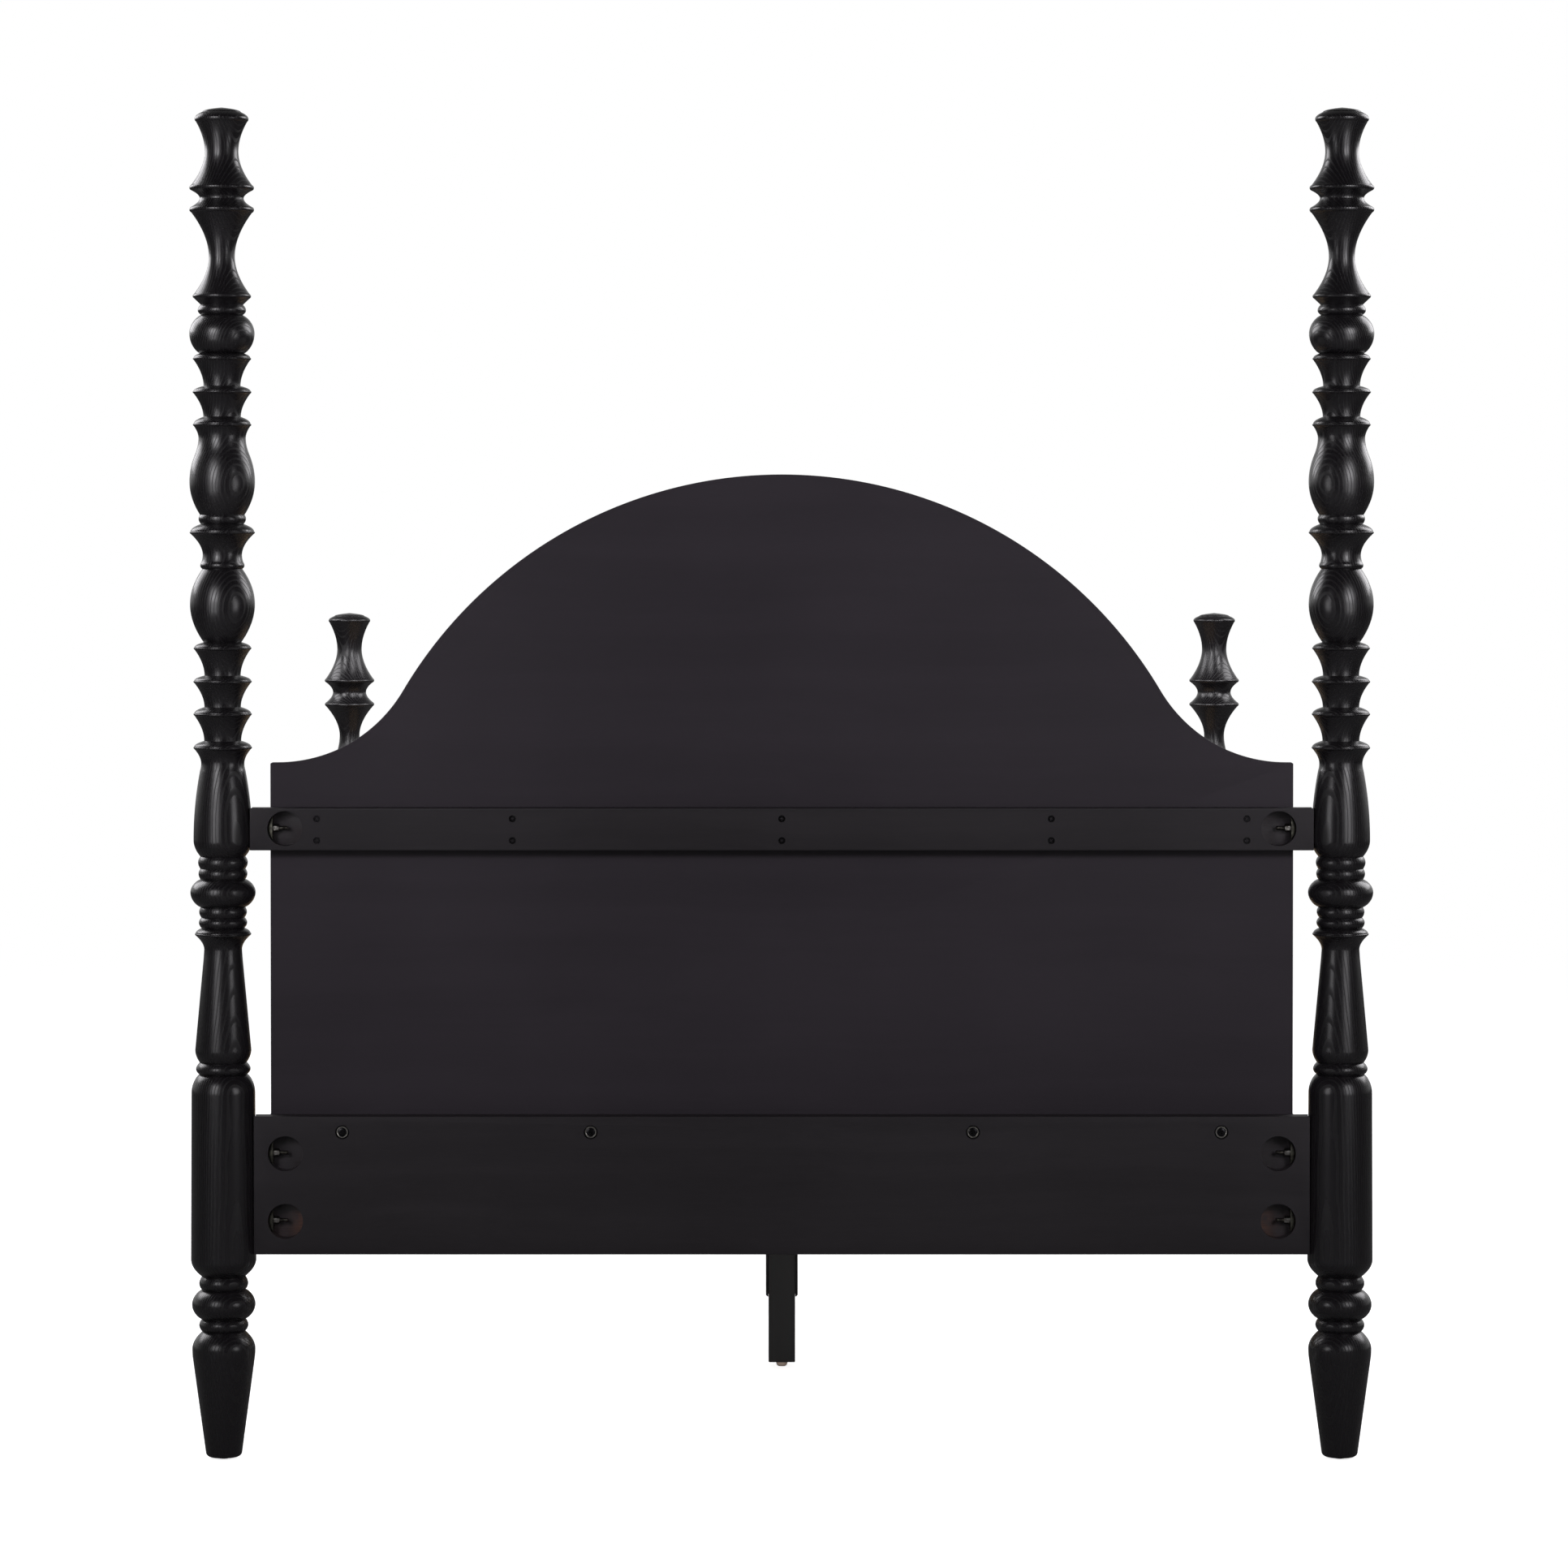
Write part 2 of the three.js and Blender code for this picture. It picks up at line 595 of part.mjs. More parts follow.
// A centre leg stands in a steel channel that hangs from the beam and opens towards the head.
function centreLegs() {
  const underBeam = SLAT_SEAT - BEAM_HEIGHT - GAP;
  const half = LEG_WIDTH / 2;
  const inner = half + GAP;
  const outer = inner + SHEET_STEEL;
  for (const { end, sign } of ENDS) {
    const y = sign * LEG_Y;
    const back = y + half;
    const channel = cut(
      boxBetween([-outer, back - SOCKET_DEPTH, SOCKET_LOW], [outer, back + GAP + SHEET_STEEL, underBeam]),
      [
        boxBetween(
          [-inner, back - SOCKET_DEPTH - OVERCUT, SOCKET_LOW - OVERCUT],
          [inner, back + GAP, underBeam - SHEET_STEEL],
        ),
      ],
    );
    const plate = boxBetween(
      [-outer, y - half - SOCKET_PLATE_HEADWARD, underBeam - SHEET_STEEL],
      [outer, back + SOCKET_PLATE_FOOTWARD, underBeam],
    );
    addPiece(`leg_socket_${end}`, join([channel, plate]), BLACK_STEEL);

    const legTop = underBeam - SHEET_STEEL - GAP;
    const leg = boxBetween([-half, y - half, LEG_BASE], [half, y + half, legTop]);
    const studTop = GLIDE_HEIGHT + GLIDE_STUD_LENGTH;
    const boreRadius = GLIDE_STUD_RADIUS + SHANK_CLEARANCE;
    const bore = barAlong("z", boreRadius, LEG_BASE - OVERCUT, studTop + OVERCUT, [0, y]);
    addPiece(`centre_leg_${end}`, cut(leg, [bore]), BLACK_RAIL);

    const outline = [
      new THREE.Vector2(0, 0),
      new THREE.Vector2(GLIDE_TREAD_RADIUS, 0),
      new THREE.Vector2(GLIDE_RADIUS, GLIDE_SHOULDER),
      new THREE.Vector2(GLIDE_RADIUS, GLIDE_HEIGHT),
      new THREE.Vector2(0, GLIDE_HEIGHT),
    ];
    const foot = new THREE.LatheGeometry(outline, HEAD_SIDES);
    foot.rotateX(Math.PI / 2).translate(0, y, 0);
    const stud = barAlong("z", GLIDE_STUD_RADIUS, GLIDE_HEIGHT - OVERCUT, studTop, [0, y]);
    addPiece(`leg_glide_${end}`, join([foot, stud]), TAN_PLASTIC);
  }
}

posts();
headboard();
bedRails();
connectors();
slatDeck();
centreLegs();

export default bed;
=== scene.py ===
"""Finish of a black four poster bed: turned posts, an arched headboard, rails, hardware and a slatted deck.

Sizes are in metres, unless their description says millimetres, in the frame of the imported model:
+X to the right as seen from behind the headboard, +Y from head to foot, +Z up, with the origin on
the floor under the middle of the bed.
"""

import logging
import math
from dataclasses import dataclass
from enum import Enum
from typing import Callable, Iterable, Sequence

import bmesh
import bpy
from mathutils import Matrix, Vector


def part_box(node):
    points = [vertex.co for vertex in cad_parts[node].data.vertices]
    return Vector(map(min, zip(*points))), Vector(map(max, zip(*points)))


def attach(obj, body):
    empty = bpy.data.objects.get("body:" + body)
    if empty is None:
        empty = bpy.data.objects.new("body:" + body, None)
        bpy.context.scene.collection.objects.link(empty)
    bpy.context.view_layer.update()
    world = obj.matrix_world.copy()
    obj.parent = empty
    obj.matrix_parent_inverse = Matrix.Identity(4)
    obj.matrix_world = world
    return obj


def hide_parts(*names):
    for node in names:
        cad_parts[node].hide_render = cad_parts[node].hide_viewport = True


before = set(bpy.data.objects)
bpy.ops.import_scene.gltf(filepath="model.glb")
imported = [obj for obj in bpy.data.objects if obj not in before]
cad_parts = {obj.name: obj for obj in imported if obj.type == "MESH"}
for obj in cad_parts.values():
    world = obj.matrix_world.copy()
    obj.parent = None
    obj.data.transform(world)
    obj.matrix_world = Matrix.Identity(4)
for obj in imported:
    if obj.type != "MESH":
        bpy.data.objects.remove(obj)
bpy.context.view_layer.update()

MM = 0.001
FRAME_BODY = "frame"
SIDES = {"left": -1, "right": 1}
ENDS = {"head": -1, "foot": 1}
GAP = 0.3 * MM
FOOTWARDS = Vector((0.0, 1.0, 0.0))
UP = Vector((0.0, 0.0, 1.0))
POCKET_FROM_AXIS = 89.5 * MM

Mesh = bpy.types.Mesh
Material = bpy.types.Material
Socket = bpy.types.NodeSocket
Colour = tuple[float, float, float]
Outline = list[tuple[float, float]]
Points = Sequence[Sequence[float]]

log = logging.getLogger("four_poster_bed")


# ---- Mesh making ----


def new_object(name: str, mesh: Mesh) -> bpy.types.Object:
    """Puts a mesh in the scene as an object at the origin.

    Args:
        name: the object's name.
        mesh: its mesh, with its place already in the vertices.

    Returns:
        The new object.
    """
    made = bpy.data.objects.new(name, mesh)
    bpy.context.collection.objects.link(made)
    return made


def mesh_from(name: str, points: Points, faces: Sequence[Sequence[int]]) -> Mesh:
    """Makes a mesh from points and faces, with its faces turned outwards.

    Args:
        name: the mesh's name.
        points: the corner points.
        faces: the point numbers of each face.

    Returns:
        The new mesh.
    """
    mesh = bpy.data.meshes.new(name)
    mesh.from_pydata([tuple(point) for point in points], [], [tuple(face) for face in faces])
    face_outwards(mesh)
    return mesh


def face_outwards(mesh: Mesh) -> None:
    """Merges doubled points and turns every face of a closed mesh outwards.

    Args:
        mesh: the mesh, which is changed in place.
    """
    work = bmesh.new()
    work.from_mesh(mesh)
    bmesh.ops.remove_doubles(work, verts=work.verts, dist=1e-6)
    bmesh.ops.recalc_face_normals(work, faces=work.faces)
    work.to_mesh(mesh)
    work.free()


def baked(source: bpy.types.Object) -> Mesh:
    """Turns an object with its modifiers into a plain mesh and removes the object.

    Args:
        source: an object with modifiers.

    Returns:
        The evaluated mesh.
    """
    bpy.context.view_layer.update()
    evaluated = source.evaluated_get(bpy.context.evaluated_depsgraph_get())
    mesh = bpy.data.meshes.new_from_object(evaluated)
    bpy.data.objects.remove(source)
    return mesh


def eased(mesh: Mesh, width: float, segments: int = 2, over: float = 40.0) -> Mesh:
    """Rounds over a mesh's sharp edges, as sandpaper does.

    Args:
        mesh: a closed mesh.
        width: how far from the edge the rounding starts.
        segments: how many faces make the rounding.
        over: the angle, in degrees, from which an edge counts as sharp.

    Returns:
        The rounded mesh.
    """
    work = new_object("work", mesh)
    bevel = work.modifiers.new("ease", "BEVEL")
    bevel.width = width
    bevel.segments = segments
    bevel.limit_method = "ANGLE"
    bevel.angle_limit = math.radians(over)
    bevel.use_clamp_overlap = True
    return baked(work)


def cut(mesh: Mesh, tools: Iterable[Mesh]) -> Mesh:
    """Cuts closed tools away from a closed mesh.

    Args:
        mesh: the blank.
        tools: what is taken away.

    Returns:
        What is left of the blank.
    """
    work = new_object("blank", mesh)
    tool = new_object("tool", joined("tools", list(tools)))
    boolean = work.modifiers.new("cut", "BOOLEAN")
    boolean.operation = "DIFFERENCE"
    boolean.solver = "EXACT"
    boolean.use_self = True
    boolean.object = tool
    result = baked(work)
    bpy.data.objects.remove(tool)
    return result


def joined(name: str, meshes: Sequence[Mesh]) -> Mesh:
    """Puts several meshes into one, keeping each one's materials.

    Args:
        name: the new mesh's name.
        meshes: the meshes to put together.

    Returns:
        One mesh that holds them all.
    """
    work = bmesh.new()
    materials: list[Material] = []
    for mesh in meshes:
        first = len(work.faces)
        work.from_mesh(mesh)
        work.faces.ensure_lookup_table()
        for material in mesh.materials:
            if material not in materials:
                materials.append(material)
        for face in work.faces[first:]:
            if mesh.materials:
                face.material_index = materials.index(mesh.materials[face.material_index])
    whole = bpy.data.meshes.new(name)
    work.to_mesh(whole)
    work.free()
    for material in materials:
        whole.materials.append(material)
    return whole


def corners(node: str) -> tuple[Vector, Vector]:
    """Gives the lowest and the highest corner of a CAD node's box."""
    low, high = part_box(node)
    return Vector(low), Vector(high)


def box_mesh(low: Sequence[float], high: Sequence[float]) -> Mesh:
    """Makes a box.

    Args:
        low: its lowest corner.
        high: its highest corner.

    Returns:
        The closed box.
    """
    points = [(x, y, z) for x in (low[0], high[0]) for y in (low[1], high[1]) for z in (low[2], high[2])]
    faces = [(0, 1, 3, 2), (4, 6, 7, 5), (0, 4, 5, 1), (2, 3, 7, 6), (0, 2, 6, 4), (1, 5, 7, 3)]
    return mesh_from("box", points, faces)


class Axis(Enum):
    """The direction that a bar or an outline runs along."""

    X = 0
    Y = 1
    Z = 2

    def place(self, across: float, up: float, along: float) -> tuple[float, float, float]:
        """Gives the point at two places across the axis and one along it.

        Args:
            across: the place along the first of the other two axes, in X, Y, Z order.
            up: the place along the second of them.
            along: the place along this axis.

        Returns:
            The point in the frame.
        """
        point = [across, up]
        point.insert(self.value, along)
        return (point[0], point[1], point[2])


def ring_faces(rings: int, sides: int, closed: bool = False) -> list[Sequence[int]]:
    """Gives the faces that join rings of points, each ring to the next.

    Args:
        rings: how many rings there are.
        sides: how many points each ring has.
        closed: whether the last ring joins the first.

    Returns:
        The point numbers of each face.
    """
    faces: list[Sequence[int]] = []
    for ring in range(rings if closed else rings - 1):
        here, there = ring * sides, (ring + 1) % rings * sides
        for i in range(sides):
            turn = (i + 1) % sides
            faces.append((here + i, here + turn, there + turn, there + i))
    return faces


def prism_mesh(outline: Points, axis: Axis, start: float, end: float) -> Mesh:
    """Extrudes a flat outline along an axis.

    Args:
        outline: its corners, across the axis.
        axis: the direction of the extrusion.
        start: where it starts.
        end: where it ends.

    Returns:
        The closed prism.
    """
    count = len(outline)
    points = [axis.place(a, b, place) for place in (start, end) for a, b in outline]
    faces = [range(count), range(count, 2 * count), *ring_faces(2, count)]
    return mesh_from("prism", points, faces)


def ring_points(radius: float, sides: int, centre: Sequence[float] = (0.0, 0.0)) -> Outline:
    """Gives the corners of a regular polygon."""
    turns = [2 * math.pi * i / sides for i in range(sides)]
    return [(centre[0] + radius * math.cos(t), centre[1] + radius * math.sin(t)) for t in turns]


def bar_mesh(
    axis: Axis, radius: float, start: float, end: float, centre: Sequence[float], sides: int
) -> Mesh:
    """Makes a round bar along an axis.

    Args:
        axis: the bar's direction.
        radius: its radius.
        start: where it starts along the axis.
        end: where it ends.
        centre: its place across the axis.
        sides: how many sides it has.

    Returns:
        The closed bar.
    """
    return prism_mesh(ring_points(radius, sides, centre), axis, start, end)


def turned_mesh(stations: Sequence[tuple[float, float]], sides: int) -> Mesh:
    """Turns an outline about the Z axis.

    Args:
        stations: (height, radius) pairs from one end to the other; the ends are closed flat.
        sides: how many sides each ring has.

    Returns:
        The closed turning.
    """
    points = [(x, y, z) for z, r in stations for x, y in ring_points(r, sides)]
    faces = [*ring_faces(len(stations), sides), range(sides), range(len(points) - sides, len(points))]
    return mesh_from("turning", points, faces)


def arc(centre: Sequence[float], radius: float, start: float, end: float, steps: int) -> Outline:
    """Gives points along an arc.

    Args:
        centre: the arc's centre.
        radius: its radius.
        start: the angle it starts at, in radians.
        end: the angle it ends at.
        steps: how many lengths it is divided into.

    Returns:
        The points, both ends included.
    """
    angles = [start + (end - start) * i / steps for i in range(steps + 1)]
    return [(centre[0] + radius * math.cos(a), centre[1] + radius * math.sin(a)) for a in angles]


def moved(mesh: Mesh, place: Matrix) -> Mesh:
    """Gives a copy of a mesh in another place.

    Args:
        mesh: the mesh.
        place: the matrix that moves it.

    Returns:
        The moved copy.
    """
    copy = mesh.copy()
    copy.transform(place)
    return copy


def add_piece(
    name: str,
    mesh: Mesh,
    material: Material | None,
    nodes: Sequence[str] = (),
    body: str = FRAME_BODY,
    sharp_over: float = 35.0,
) -> None:
    """Adds a finished piece to the bed.

    Args:
        name: the piece's name.
        mesh: its mesh, in place.
        material: its material, or None where the mesh already has its own.
        nodes: the CAD nodes that it stands for.
        body: the CAD body that it moves with.
        sharp_over: the angle, in degrees, from which an edge isn't shaded smooth.
    """
    mesh.name = name
    mesh.shade_smooth()
    mesh.set_sharp_from_angle(angle=math.radians(sharp_over))
    if material is not None:
        mesh.materials.clear()
        mesh.materials.append(material)
    piece = new_object(name, mesh)
    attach(piece, body)
    if nodes:
        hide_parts(*nodes)
    log.info("%s: %d faces on %s", name, len(mesh.polygons), body)


def add_board(node: str, material: Material) -> None:
    """Adds a plain board with sanded edges, the size of its CAD node.

    Args:
        node: the node that it stands for.
        material: its material.
    """
    board = eased(box_mesh(*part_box(node)), 1.5 * MM)
    add_piece(f"finished_{node}", board, material, [node])


# ---- Nodes ----


class Nodes:
    """A short way to write a node tree."""

    def __init__(self, tree: bpy.types.NodeTree) -> None:
        """Writes into a tree."""
        self.tree = tree

    def feed(self, socket: Socket, value: object) -> None:
        """Links a socket to another, or sets its value.

        Args:
            socket: the socket that is fed.
            value: an output socket, a number, a vector or a colour.
        """
        if isinstance(value, Socket):
            self.tree.links.new(value, socket)
        elif isinstance(value, tuple) and len(value) == 3 and socket.type == "RGBA":
            socket.default_value = (*value, 1.0)
        else:
            socket.default_value = value

    def node(self, kind: str, *values: object, **named: object) -> bpy.types.Node:
        """Adds a node.

        Args:
            kind: the node's type.
            values: what its first sockets get, in their order.
            named: its properties, and what other sockets get, by name with _ for a space.

        Returns:
            The new node.
        """
        made = self.tree.nodes.new(kind)
        for name, value in named.items():
            if hasattr(made, name):
                setattr(made, name, value)
            else:
                self.feed(made.inputs[name.replace("_", " ")], value)
        for socket, value in zip(made.inputs, values):
            self.feed(socket, value)
        return made


class NodeTree(Nodes):
    """A Geometry Nodes tree that makes a mesh."""

    def __init__(self, name: str) -> None:
        """Starts an empty tree with one geometry input and one geometry output.

        Args:
            name: the tree's name.
        """
        super().__init__(bpy.data.node_groups.new(name, "GeometryNodeTree"))
        self.tree.interface.new_socket("Geometry", in_out="INPUT", socket_type="NodeSocketGeometry")
        self.tree.interface.new_socket("Geometry", in_out="OUTPUT", socket_type="NodeSocketGeometry")
        self.source = self.tree.nodes.new("NodeGroupInput")
        self.sockets: dict[str, str] = {}

    def input(self, name: str, kind: str) -> Socket:
        """Adds a named input.

        Args:
            name: the input's name.
            kind: its socket type, such as NodeSocketInt.

        Returns:
            The socket that carries it inside the tree.
        """
        made = self.tree.interface.new_socket(name, in_out="INPUT", socket_type=kind)
        self.sockets[name] = made.identifier
        return self.source.outputs[name]

    def finish(self, geometry: Socket, material: Socket) -> None:
        """Ends the tree in Realize Instances and Set Material.

        Args:
            geometry: what the tree has made.
            material: the material that it gets.
        """
        real = self.node("GeometryNodeRealizeInstances", Geometry=geometry)
        dressed = self.node("GeometryNodeSetMaterial", Geometry=real.outputs[0], Material=material)
        end = self.tree.nodes.new("NodeGroupOutput")
        self.tree.links.new(dressed.outputs[0], end.inputs[0])

    def run(self, base: Mesh, values: dict[str, object]) -> Mesh:
        """Runs the tree on a mesh.

        Args:
            base: the mesh that goes in.
            values: the named inputs' values.

        Returns:
            The mesh that comes out.
        """
        work = new_object("nodes_work", base)
        modifier = work.modifiers.new(self.tree.name, "NODES")
        modifier.node_group = self.tree
        for name, value in values.items():
            modifier[self.sockets[name]] = value
        return baked(work)


class Lathe:
    """Turns a post: rings that follow a line of stations, each as wide as its station says."""

    RADIUS = "turned_radius"

    def __init__(self) -> None:
        """Builds the tree."""
        self.nodes = NodeTree("lathe")
        sides = self.nodes.input("Sides", "NodeSocketInt")
        material = self.nodes.input("Material", "NodeSocketMaterial")
        radius = self.nodes.node("GeometryNodeInputNamedAttribute", data_type="FLOAT", Name=self.RADIUS)
        axis = self.nodes.node("GeometryNodeMeshToCurve", Mesh=self.nodes.source.outputs[0])
        ring = self.nodes.node("GeometryNodeCurvePrimitiveCircle", Resolution=sides, Radius=1.0)
        turned = self.nodes.node(
            "GeometryNodeCurveToMesh",
            Curve=axis.outputs[0],
            Profile_Curve=ring.outputs[0],
            Scale=radius.outputs["Attribute"],
            Fill_Caps=True,
        )
        self.nodes.finish(turned.outputs[0], material)

    def turn(self, stations: Sequence[tuple[float, float]], sides: int, material: Material) -> Mesh:
        """Turns one piece about the Z axis.

        Args:
            stations: (height, radius) pairs from the bottom up.
            sides: how many sides each ring has.
            material: the piece's material.

        Returns:
            The turned mesh.
        """
        line = bpy.data.meshes.new("stations")
        edges = [(i, i + 1) for i in range(len(stations) - 1)]
        line.from_pydata([(0.0, 0.0, z) for z, _ in stations], edges, [])
        radius = line.attributes.new(self.RADIUS, "FLOAT", "POINT")
        radius.data.foreach_set("value", [r for _, r in stations])
        mesh = self.nodes.run(line, {"Sides": sides, "Material": material})
        face_outwards(mesh)
        return mesh


class Placer:
    """Sets a copy of one piece at every point of a set, turned as each point says."""

    TURN = "turn"

    def __init__(self) -> None:
        """Builds the tree."""
        self.nodes = NodeTree("place_copies")
        piece = self.nodes.input("Piece", "NodeSocketObject")
        material = self.nodes.input("Material", "NodeSocketMaterial")
        turn = self.nodes.node("GeometryNodeInputNamedAttribute", data_type="FLOAT_VECTOR", Name=self.TURN)
        rotation = self.nodes.node("FunctionNodeEulerToRotation", Euler=turn.outputs["Attribute"])
        info = self.nodes.node("GeometryNodeObjectInfo", Object=piece)
        copies = self.nodes.node(
            "GeometryNodeInstanceOnPoints",
            Points=self.nodes.source.outputs[0],
            Instance=info.outputs["Geometry"],
            Rotation=rotation.outputs[0],
        )
        self.nodes.finish(copies.outputs[0], material)

    def place(
        self,
        piece: Mesh,
        points: Points,
        turns: Points,
        material: Material,
    ) -> Mesh:
        """Copies a piece to every point.

        Args:
            piece: the piece, made about the origin.
            points: where the copies go.
            turns: each copy's rotation, as Euler angles in radians.
            material: the copies' material.

        Returns:
            One mesh with every copy in it.
        """
        base = bpy.data.meshes.new("points")
        base.from_pydata([tuple(point) for point in points], [], [])
        turn = base.attributes.new(self.TURN, "FLOAT_VECTOR", "POINT")
        turn.data.foreach_set("vector", [value for angles in turns for value in angles])
        source = new_object("piece", piece)
        mesh = self.nodes.run(base, {"Piece": source, "Material": material})
        bpy.data.objects.remove(source)
        if self.TURN in mesh.attributes:
            mesh.attributes.remove(mesh.attributes[self.TURN])
        return mesh


class Row:
    """Lays equal boards side by side in a row."""

    def __init__(self) -> None:
        """Builds the tree."""
        self.nodes = NodeTree("row_of_boards")
        count = self.nodes.input("Count", "NodeSocketInt")
        first = self.nodes.input("First", "NodeSocketVector")
        pitch = self.nodes.input("Pitch", "NodeSocketVector")
        material = self.nodes.input("Material", "NodeSocketMaterial")
        line = self.nodes.node("GeometryNodeMeshLine", Count=count, Start_Location=first, Offset=pitch)
        copies = self.nodes.node(
            "GeometryNodeInstanceOnPoints", Points=line.outputs[0], Instance=self.nodes.source.outputs[0]
        )
        self.nodes.finish(copies.outputs[0], material)

    def lay(self, board: Mesh, count: int, first: Vector, pitch: Vector, material: Material) -> Mesh:
        """Lays the boards.

        Args:
            board: one board, made about the origin.
            count: how many there are.
            first: where the first one's middle goes.
            pitch: the step from each to the next.
            material: their material.

        Returns:
            One mesh with every board in it.
        """
        values = {"Count": count, "First": first, "Pitch": pitch, "Material": material}
        return self.nodes.run(board, values)


# ---- Finishes ----

class ShaderNodes(Nodes):
    """A short way to write shader nodes."""

    def math(self, operation: str, *values: object) -> Socket:
        """Adds a Math node and gives its output."""
        return self.node("ShaderNodeMath", *values, operation=operation).outputs[0]

    def plus(self, first: object, second: object) -> Socket:
        """Adds two values."""
        return self.math("ADD", first, second)

    def minus(self, first: object, second: object) -> Socket:
        """Takes the second value from the first."""
        return self.math("SUBTRACT", first, second)

    def times(self, first: object, second: object) -> Socket:
        """Multiplies two values."""
        return self.math("MULTIPLY", first, second)

    def vary(self, base: object, noise: Socket, amount: float) -> Socket:
        """Adds a noise's swing about its middle to a value."""
        return self.math("MULTIPLY_ADD", self.minus(noise, 0.5), amount, base)

    def vector(self, operation: str, *values: object) -> Socket:
        """Adds a Vector Math node and gives its vector output."""
        return self.node("ShaderNodeVectorMath", *values, operation=operation).outputs[0]

    def parts(self, vector: Socket) -> tuple[Socket, ...]:
        """Splits a vector into X, Y and Z."""
        return tuple(self.node("ShaderNodeSeparateXYZ", vector).outputs)

    def whole(self, x: object, y: object, z: object) -> Socket:
        """Makes a vector from X, Y and Z."""
        return self.node("ShaderNodeCombineXYZ", x, y, z).outputs[0]

    def stretched(self, place: object, by: Sequence[float]) -> Socket:
        """Scales coordinates, each axis by its own amount."""
        return self.vector("MULTIPLY", place, tuple(by))

    def noise(self, place: object, scale: float, detail: float = 3.0, roughness: float = 0.5) -> Socket:
        """Adds a noise texture.

        Args:
            place: the coordinates that it reads.
            scale: how fine it is.
            detail: how many octaves it has.
            roughness: how strong the fine octaves are.

        Returns:
            Its value, from 0 to 1.
        """
        sizes = {"Scale": scale, "Detail": detail, "Roughness": roughness}
        return self.node("ShaderNodeTexNoise", Vector=place, **sizes).outputs[0]

    def window(
        self, value: object, low: float, high: float, to_low: float = 0.0, to_high: float = 1.0
    ) -> Socket:
        """Maps a range of a value to another range, smoothly and without passing its ends.

        Args:
            value: the value.
            low: where the range starts.
            high: where it ends.
            to_low: what low becomes.
            to_high: what high becomes.

        Returns:
            The mapped value.
        """
        ends = (value, low, high, to_low, to_high)
        return self.node("ShaderNodeMapRange", *ends, interpolation_type="SMOOTHSTEP").outputs[0]

    def blend(self, share: object, first: object, second: object) -> Socket:
        """Mixes two colours.

        Args:
            share: how much of the second there is.
            first: the first colour.
            second: the second colour.

        Returns:
            The mixed colour.
        """
        made = self.node("ShaderNodeMix", share, data_type="RGBA")
        self.feed(made.inputs[6], first)
        self.feed(made.inputs[7], second)
        return made.outputs[2]

    def bump(self, height: object, depth: float, strength: float, under: Socket | None = None) -> Socket:
        """Adds a Bump node.

        Args:
            height: the height, from 0 to 1.
            depth: how deep that is, in metres.
            strength: how much of it shows.
            under: the normal of a bump that lies under this one.

        Returns:
            The bumped normal.
        """
        made = self.node("ShaderNodeBump", Strength=strength, Distance=depth, Height=height)
        if under is not None:
            self.feed(made.inputs["Normal"], under)
        return made.outputs[0]


class Shader(ShaderNodes):
    """A material with one Principled shader."""

    def __init__(self, name: str) -> None:
        """Starts the material.

        Args:
            name: its name.
        """
        self.material = bpy.data.materials.new(name)
        self.material.use_nodes = True
        super().__init__(self.material.node_tree)
        self.shader = self.tree.nodes["Principled BSDF"]
        self.place = self.node("ShaderNodeTexCoord").outputs["Object"]

    def set(self, **values: object) -> Material:
        """Sets or links the Principled shader's sockets, by name with _ for a space.

        Args:
            values: what each socket gets.

        Returns:
            The material.
        """
        for name, value in values.items():
            self.feed(self.shader.inputs[name.replace("_", " ")], value)
        return self.material


